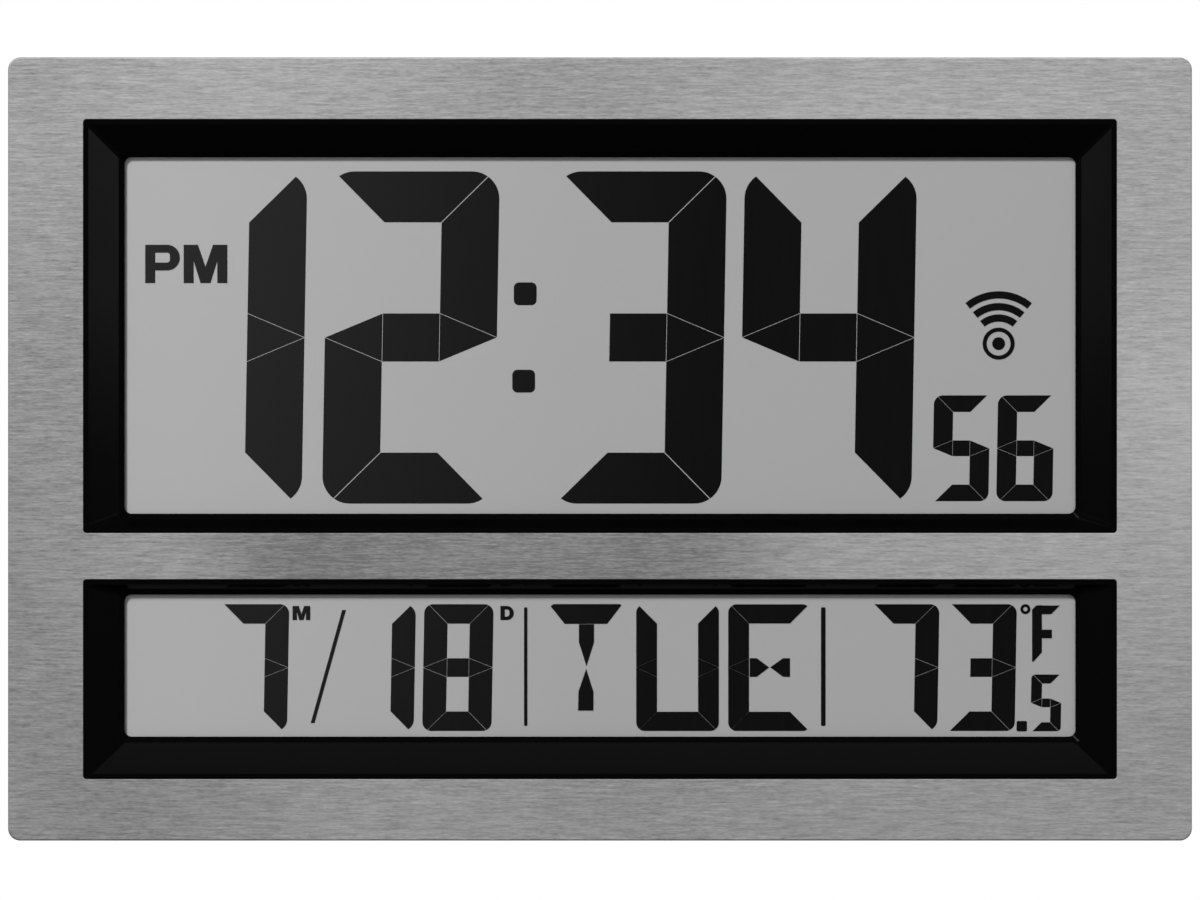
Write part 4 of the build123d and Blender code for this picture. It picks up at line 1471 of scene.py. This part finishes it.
@dataclass
class WeekdaySign(Sign):
    """Weekday in three segment letters."""

    name: str = "weekday_sign"
    middle: float = -75.08
    top: Outline = (
        (-17.0, -54.0), (-15.9, -53.25), (6.9, -53.25), (7.35, -53.7), (2.45, -60.05), (-12.15, -60.05),
    )
    upper_stem: Outline = ((-7.25, -60.2), (-2.05, -60.2), (-2.05, -66.4), (-4.66, -74.6), (-7.25, -66.4))
    lower_stem: Outline = (
        (-4.75, -75.5), (-2.25, -83.35), (-2.25, -89.85), (-7.55, -89.85), (-7.4, -83.35),
    )
    second_left: float = 12.4
    third_left: float = 44.0
    left_half: Outline = ((51.4, -78.25), (53.85, -78.25), (58.1, -75.0), (53.85, -71.85), (51.4, -71.85))
    right_half: Outline = (
        (65.25, -78.25), (62.85, -78.25), (58.5, -75.0), (62.85, -71.85), (65.25, -71.85),
    )
    uprights: tuple[Segment, ...] = (Segment.UPPER_LEFT, Segment.LEFT_ARROW, Segment.LOWER_LEFT)
    second_rest: tuple[Segment, ...] = (
        Segment.BOTTOM, Segment.UPPER_RIGHT, Segment.RIGHT_ARROW, Segment.LOWER_RIGHT,
    )
    third_rest: tuple[Segment, ...] = (Segment.TOP, Segment.BOTTOM)

    def parts(self) -> list[Piece]:
        """Make the segments of all three letters.

        Returns:
            The segments.
        """
        first = {"t_top": self.top, "t_upper_stem": self.upper_stem, "t_lower_stem": self.lower_stem}
        second = SegmentLetter(self.second_left, self.middle)
        third = SegmentLetter(self.third_left, self.middle)
        middle_bar = {"e_middle": self.left_half, "e_end": self.right_half}
        return [
            *(self.shapes.polygon(name, corners) for name, corners in first.items()),
            *second.build("u", self.uprights + self.second_rest),
            *third.build("e", self.uprights + self.third_rest),
            *(self.shapes.polygon(name, corners) for name, corners in middle_bar.items()),
        ]


@dataclass
class DateMarks(Sign):
    """Slash of the date, small month and day letters, and the two dividers."""

    name: str = "date_marks"
    letter_low: float = -58.75
    letter_high: float = -53.9
    month: Place = (-105.6, -99.5)
    day: Place = (-34.2, -29.6)
    slash: Outline = ((-88.55, -55.3), (-87.25, -55.3), (-98.05, -94.1), (-99.35, -94.1))
    dividers: tuple[Place, ...] = ((-26.1, -24.95), (75.9, 77.45))
    divider_low: float = -95.1
    divider_high: float = -54.35
    divider_radius: float = 0.45
    letters: BlockLetters = BlockLetters(stem=1.5, bar=1.2)

    def parts(self) -> list[Piece]:
        """Make the letters, the slash and the dividers.

        Returns:
            The shapes.
        """
        low, high = self.letter_low, self.letter_high
        left, right = self.day
        made = [
            self.letters.letter_m(*self.month, low, high),
            self.letters.bowed("d", (left, low), (right, high), low),
            self.shapes.polygon("slash", self.slash),
        ]
        for left, right in self.dividers:
            foot, head = (left, self.divider_low), (right, self.divider_high)
            made.append(self.shapes.bar("divider", foot, head, self.divider_radius))
        return made


@dataclass
class DegreeSign(Sign):
    """Degree ring and the letter of the scale."""

    name: str = "degree_sign"
    ring_centre: Place = (146.1, -55.0)
    ring: Place = (1.72, 0.75)
    stem: Outline = (
        (148.4, -55.2), (148.4, -73.0), (148.9, -73.0), (151.75, -69.8), (151.75, -53.6), (149.8, -53.75),
    )
    top: Outline = ((151.75, -53.75), (157.9, -53.75), (154.9, -56.75), (151.75, -56.75))
    middle: tuple[Place, Place] = ((151.75, -65.0), (155.2, -62.05))

    def parts(self) -> list[Piece]:
        """Make the ring and the letter.

        Returns:
            The shapes.
        """
        arms = [self.shapes.polygon("f_top", self.top), self.shapes.bar("f_middle", *self.middle)]
        letter = Bench.combine(self.shapes.polygon("f_stem", self.stem), arms, Act.FUSE)
        ring = self.shapes.arc("degree_ring", self.ring_centre, *self.ring, 0.0, WHOLE_TURN)
        return [ring, letter]


@dataclass
class Displays:
    """Both liquid-crystal displays: the CAD panes, their figures and the signs beside the figures."""

    rows: tuple[str, ...] = ("upper", "lower")
    ground: DisplayGround = DisplayGround("display_ground")
    signs: tuple[type[Sign], ...] = (AfternoonSign, SignalSign, WeekdaySign, DateMarks, DegreeSign)

    def dress(self, nodes: dict[str, Piece]) -> None:
        """Give the panes and figures of the CAD model their finishes."""
        self.ground.coat(nodes[f"{row}_front_glass"] for row in self.rows)
        INK.coat(nodes[f"{row}_segments"] for row in self.rows)

    def build(self, nodes: dict[str, Piece]) -> list[Piece]:
        """Make the finer figures and every sign.

        Args:
            nodes: the nodes of the CAD model.

        Returns:
            The new pieces.
        """
        made = [TimeFigures().build(nodes["upper_segments"]), DateFigures().build(nodes["lower_segments"])]
        return made + [sign().build() for sign in self.signs]


@dataclass
class FacePlate:
    """Brushed sheet with a rolled edge and two openings, in place of the plain solid."""

    half_width: float = 203.0
    half_height: float = 134.3
    front: float = 29.55
    depth: float = 7.0
    sheet: float = 0.8
    corner: float = 4.2
    corner_steps: int = 12
    edge: float = 0.5
    least_edge: float = 0.2
    edge_steps: int = 6
    opening_half: float = 177.25
    openings: tuple[Place, ...] = ((-28.8, 113.1), (-113.2, -44.7))
    opening_corner: float = 1.2
    opening_steps: int = 8
    opening_reach: Place = (2.0, 4.0)
    burr: float = 0.18
    burr_steps: int = 3
    finish: BrushedMetal = BrushedMetal("brushed_face")

    def pan(self, name: str, inset: float) -> Piece:
        """Rounded block of the plate's outline, drawn in by an inset.

        Args:
            name: the block's name.
            inset: distance inside the outline and behind the front, in millimetres.

        Returns:
            The block, longer at its back where it is drawn in.
        """
        x, z = self.half_width - inset, self.half_height - inset
        front = self.front - inset
        back = self.front - self.depth - (CUT_MARGIN if inset else 0.0)
        made = Bench.block(name, (-x, -front, -z), (x, -back, z))
        Bench.round_edges(made, square_on, self.corner - inset, self.corner_steps)
        Bench.round_edges(
            made,
            lambda middle, way: middle.y < -front + NEAR and abs(way.y) < ACROSS,
            max(self.edge - inset, self.least_edge),
            self.edge_steps,
        )
        return made

    def on_brink(self, middle: Vector, way: Vector) -> bool:
        """Test for edges that run round an opening at the front.

        Args:
            middle: middle of the edge, in millimetres.
            way: direction of the edge.

        Returns:
            Whether the edge is one of them.
        """
        level = abs(middle.y + self.front) < NEAR and abs(way.y) < ACROSS
        beside = abs(middle.x) < self.opening_half + NEAR
        return level and beside and any(low - NEAR < middle.z < high + NEAR for low, high in self.openings)

    def build(self) -> Piece:
        """Hollow the block to a sheet, cut both openings and break their edges.

        Returns:
            The plate.
        """
        plate = self.pan("brushed_plate", 0.0)
        cutters = [self.pan("hollow", self.sheet)]
        x = self.opening_half
        before, behind = self.opening_reach
        for low, high in self.openings:
            cutter = Bench.block("opening", (-x, -self.front - before, low), (x, -self.front + behind, high))
            Bench.round_edges(cutter, square_on, self.opening_corner, self.opening_steps)
            cutters.append(cutter)
        Bench.combine(plate, cutters)
        Bench.round_edges(plate, self.on_brink, self.burr, self.burr_steps)
        return fix_to_case(Bench.finish_mesh(plate), self.finish, "face_plate")


@dataclass
class Screws:
    """Pan-head case screws with a cross recess, in place of the plain solids."""

    places: tuple[Place, ...] = (
        (-190.0, -121.3), (0.0, -121.3), (190.0, -121.3),
        (-190.0, 121.3), (0.0, 121.3), (190.0, 121.3),
        (-190.0, -36.75), (190.0, -36.75),
    )
    seat: float = 8.0
    head_radius: float = 2.8
    head_height: float = 2.0
    head_round: float = 0.95
    head_steps: int = 5
    shank_radius: float = 1.45
    length: float = 12.0
    recess_width: float = 0.75
    recess_span: float = 3.1
    recess_depth: float = 1.2

    def build(self) -> Piece:
        """Model one screw and copy it to every post.

        Returns:
            The screws, as one piece.
        """
        axis = (0.0, 0.0)
        top = self.seat - self.head_height
        head = Bench.turned("screw_head", axis, self.head_radius, top, self.seat)
        Bench.round_edges(
            head,
            lambda middle, way: middle.y > -top - NEAR and abs(way.y) < ACROSS,
            self.head_round,
            self.head_steps,
        )
        half, span = self.recess_width / 2, self.recess_span / 2
        deep = -top - self.recess_depth
        slots = [Bench.block("recess", (-x, deep, -z), (x, 0.0, z)) for x, z in ((half, span), (span, half))]
        Bench.combine(head, slots)
        shank = Bench.turned("screw_shank", axis, self.shank_radius, self.seat, self.seat + self.length)
        screw = Bench.finish_mesh(Bench.combine(head, [shank], Act.FUSE))
        copies = [Bench.copy("screw", screw, (x, 0.0, z)) for x, z in self.places]
        bpy.data.objects.remove(screw)
        return fix_to_case(Bench.join("cross_head_screws", copies), STEEL, "case_screws")


@dataclass
class KeyMarks(Sign):
    """Raised marks over the six setting keys, on the floor of their recess."""

    name: str = "key_marks"
    shapes: InkShapes = InkShapes(back=2.35, front=2.6)
    finish: Finish = KEY_GREY
    slot: Slot = Slot.KEY
    pitch: float = 30.0
    first: float = -75.0
    middle: float = -30.2
    half: float = 1.9
    line: float = 0.75
    line_radius: float = 0.3
    line_pitch: float = 1.5
    arrow_foot: float = 1.6
    arrow_tip: float = 1.7
    stem_half: float = 0.45
    stem_radius: float = 0.4
    bulb_drop: float = 1.0
    bulb_radius: float = 1.0
    wave_drop: float = 1.5
    wave_radii: Place = (3.6, 2.2)
    wave_band: float = 0.7
    wave_start: float = 45.0
    wave_sweep: float = 90.0

    def menu(self, x: float) -> list[Piece]:
        """Three lines, for the mode key.

        Args:
            x: middle of the key, in millimetres.

        Returns:
            The lines.
        """
        half_line = self.line / 2
        levels = [self.middle + row * self.line_pitch for row in (-1, 0, 1)]
        ends = [((x - self.half, z - half_line), (x + self.half, z + half_line)) for z in levels]
        return [self.shapes.bar("menu_line", low, high, self.line_radius) for low, high in ends]

    def target(self, x: float) -> list[Piece]:
        """Ring and dot, for the set key.

        Args:
            x: middle of the key, in millimetres.

        Returns:
            The ring and the dot.
        """
        centre = (x, self.middle)
        return [
            self.shapes.arc("target_ring", centre, self.half, self.half - self.line, 0.0, WHOLE_TURN),
            self.shapes.disc("target_dot", centre, self.line),
        ]

    def arrow(self, x: float, sense: int) -> list[Piece]:
        """Arrow head that points up or down.

        Args:
            x: middle of the key, in millimetres.
            sense: 1 for up, -1 for down.

        Returns:
            The arrow head.
        """
        foot, tip = self.middle - sense * self.arrow_foot, self.middle + sense * self.arrow_tip
        return [self.shapes.polygon("arrow", ((x - self.half, foot), (x + self.half, foot), (x, tip)))]

    def thermometer(self, x: float) -> list[Piece]:
        """Stem and bulb, for the key of the temperature unit.

        Args:
            x: middle of the key, in millimetres.

        Returns:
            The thermometer.
        """
        foot = self.middle - self.bulb_drop
        low, high = (x - self.stem_half, foot), (x + self.stem_half, self.middle + self.half)
        stem = self.shapes.bar("stem", low, high, self.stem_radius)
        bulb = self.shapes.disc("bulb", (x, foot), self.bulb_radius)
        return [Bench.combine(stem, [bulb], Act.FUSE)]

    def waves(self, x: float) -> list[Piece]:
        """Dot and two waves, for the key that calls the time signal.

        Args:
            x: middle of the key, in millimetres.

        Returns:
            The waves and the dot.
        """
        centre = (x, self.middle - self.wave_drop)
        made = [
            self.shapes.arc("wave", centre, radius, radius - self.wave_band, self.wave_start, self.wave_sweep)
            for radius in self.wave_radii
        ]
        return [*made, self.shapes.disc("dot", centre, self.wave_band)]

    def parts(self) -> list[Piece]:
        """Make the marks from the first key to the last.

        Returns:
            The shapes of all marks.
        """
        x = [self.first + place * self.pitch for place in range(len(KEYS))]
        made = self.menu(x[0]) + self.target(x[1]) + self.arrow(x[2], 1) + self.arrow(x[3], -1)
        return made + self.thermometer(x[4]) + self.waves(x[5])


@dataclass
class DarkParts:
    """Moulded and inner parts of the CAD model, each with its finish."""

    bezel: Finish = MouldedPlastic(
        "bezel_black", shade=(0.0006, 0.0006, 0.00065), specular=0.015, rough=(0.1, 0.13), strength=0.05
    )
    cover: Finish = MouldedPlastic(
        "cover_black",
        shade=(0.011, 0.011, 0.012),
        specular=0.3,
        rough=(0.46, 0.52),
        cells=1500.0,
        strength=0.35,
    )
    plunger: Finish = MouldedPlastic("plunger_ivory", shade=(0.4, 0.37, 0.3), lift=1.15, specular=0.4)
    chip: Finish = MouldedPlastic("chip_epoxy", shade=(0.008,) * 3, specular=0.45, rough=(0.3, 0.42))
    strip: Finish = MouldedPlastic(
        "strip_rubber", shade=(0.1, 0.09, 0.085), specular=0.2, rough=(0.6, 0.75)
    )
    ferrite: Finish = MouldedPlastic(
        "ferrite_grey", shade=(0.02, 0.02, 0.022), specular=0.4, rough=(0.4, 0.55)
    )
    film: Finish = MouldedPlastic("film_silver", shade=(0.42,) * 3, lift=1.1, specular=0.5, rough=(0.3, 0.4))
    pane: Finish = MouldedPlastic(
        "pane_green", shade=(0.3, 0.34, 0.32), lift=1.1, specular=0.5, rough=(0.1, 0.16)
    )
    board: Finish = BoardLacquer("board_green")
    coil: Finish = WoundCopper("wound_copper")
    cell_up: Finish = CellSleeve("cell_nub_up")
    cell_down: Finish = CellSleeve("cell_nub_down", nub=Nub.DOWN)

    def dress(self, nodes: dict[str, Piece]) -> None:
        """Give each node its finish.

        Args:
            nodes: the nodes of the CAD model.
        """
        coats = {
            self.bezel: ["front_bezel", "upper_display_holder", "lower_display_holder"],
            self.cover: ["back_cover", "battery_door", "left_leg", "right_leg"],
            KEY_GREY: [f"{key}_key" for key in KEYS],
            self.plunger: [f"{key}_plunger" for key in KEYS],
            self.chip: ["controller_chip", "receiver_chip", "thermistor", "tact_switches"],
            self.strip: ["upper_contact_strip", "lower_contact_strip"],
            self.ferrite: ["ferrite_rod"],
            self.film: ["upper_reflector", "lower_reflector"],
            self.pane: ["upper_rear_glass", "lower_rear_glass"],
            self.board: ["main_board", "receiver_board"],
            self.coil: ["antenna_coil"],
            STEEL: [
                "quartz_crystal", "spring_contacts", "plate_contacts", "holder_screws", "board_screws",
                "left_leg_pin", "right_leg_pin",
            ],
            self.cell_up: ["battery_1", "battery_3"],
            self.cell_down: ["battery_2", "battery_4"],
        }
        for finish, names in coats.items():
            finish.coat(nodes[name] for name in names)
            log.info("finish %s on %s", finish.name, ", ".join(names))


@dataclass(frozen=True)
class Lamp:
    """Soft lamp that looks at the middle of the clock, with its place and size in metres and its watts."""

    name: str
    place: Triple
    size: Place
    power: float

    def build(self) -> None:
        """Set the lamp up."""
        Bench.clear()
        turn = (-Vector(self.place)).to_track_quat("-Z", "Y").to_euler()
        bpy.ops.object.light_add(type="AREA", location=self.place, rotation=turn)
        made = bpy.context.object
        made.name = self.name
        made.data.shape = "RECTANGLE"
        made.data.size, made.data.size_y = self.size
        made.data.energy = self.power


@dataclass
class Studio:
    """Camera square on to the face, soft lamps, white surroundings and a pale floor."""

    plate_width: float = 406.0
    plate_pixels: float = 1184.0
    frame_pixels: float = 1200.0
    plate_front: float = 29.55
    drop: float = 0.343
    distance: float = 4000.0
    sensor: float = 36.0
    sight: float = 100.0
    floor_level: float = -300.0
    floor_radius: float = 1.7
    floor_sides: int = 96
    ambient: float = 0.12
    backdrop: float = 1.0
    lamps: tuple[Lamp, ...] = (
        Lamp("key_lamp", (-1.0, -2.0, 1.5), (0.5, 0.5), 70.5),
        Lamp("right_strip", (1.16, -2.2, 0.35), (0.25, 0.6), 5.3),
        Lamp("left_strip", (-1.16, -2.2, 0.35), (0.25, 0.6), 3.3),
        Lamp("brow_strip", (0.0, -2.2, 1.18), (0.9, 0.12), 2.9),
        Lamp("rear_lamp", (0.9, 2.0, 1.3), (1.2, 1.2), 52.0),
    )

    def camera(self) -> None:
        """Set a long lens in front of the middle of the face."""
        Bench.clear()
        place = (0.0, -(self.plate_front + self.distance) * MM, -self.drop * MM)
        bpy.ops.object.camera_add(location=place, rotation=(QUARTER_TURN, 0.0, 0.0))
        eye = bpy.context.object
        eye.name = "face_camera"
        seen = self.plate_width * self.frame_pixels / self.plate_pixels
        eye.data.sensor_width = self.sensor
        eye.data.lens = self.sensor * self.distance / seen
        eye.data.clip_end = self.sight
        bpy.context.scene.camera = eye

    def world(self) -> None:
        """White to the camera and to mirrors, softer as light on the object."""
        world = bpy.data.worlds.new("white_room")
        bpy.context.scene.world = world
        nodes = Wiring(world)
        nodes.tree.nodes.clear()
        skies = []
        for strength in (self.ambient, self.backdrop):
            sky = nodes.node("ShaderNodeBackground")
            sky.inputs["Color"].default_value = WHITE
            sky.inputs["Strength"].default_value = strength
            skies.append(sky.outputs[0])
        path = nodes.node("ShaderNodeLightPath")
        share = path.outputs["Is Camera Ray"]
        for ray in ("Is Glossy Ray", "Is Transmission Ray"):
            share = nodes.reckon(Sum.LARGER, share, path.outputs[ray])
        nodes.blend(share, *skies, nodes.node("ShaderNodeOutputWorld").inputs["Surface"])

    def floor(self) -> None:
        """Lay a round pale floor below the clock."""
        Bench.clear()
        level = self.floor_level * MM
        bpy.ops.mesh.primitive_circle_add(
            vertices=self.floor_sides, radius=self.floor_radius, fill_type="NGON", location=(0.0, 0.0, level)
        )
        made = Bench.settle("pale_floor")
        PaleFloor("pale_floor", level).coat([made])

    def build(self) -> None:
        """Set up camera, surroundings, lamps and floor."""
        self.camera()
        self.world()
        for lamp in self.lamps:
            lamp.build()
        self.floor()
        bpy.context.scene.view_settings.view_transform = "Standard"


def main() -> None:
    """Dress the CAD model, add the modelled pieces and set up the studio."""
    logging.basicConfig(level=logging.INFO, format="%(name)s: %(message)s")
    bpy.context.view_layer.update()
    nodes = frame["nodes"]
    DarkParts().dress(nodes)
    displays = Displays()
    displays.dress(nodes)
    made = [FacePlate().build(), Screws().build(), KeyMarks().build(), *displays.build(nodes)]
    for piece in made:
        log.info("piece %s: %d faces", piece.name, len(piece.data.polygons))
    Studio().build()
    bpy.context.view_layer.update()


if __name__ == "__main__":
    main()
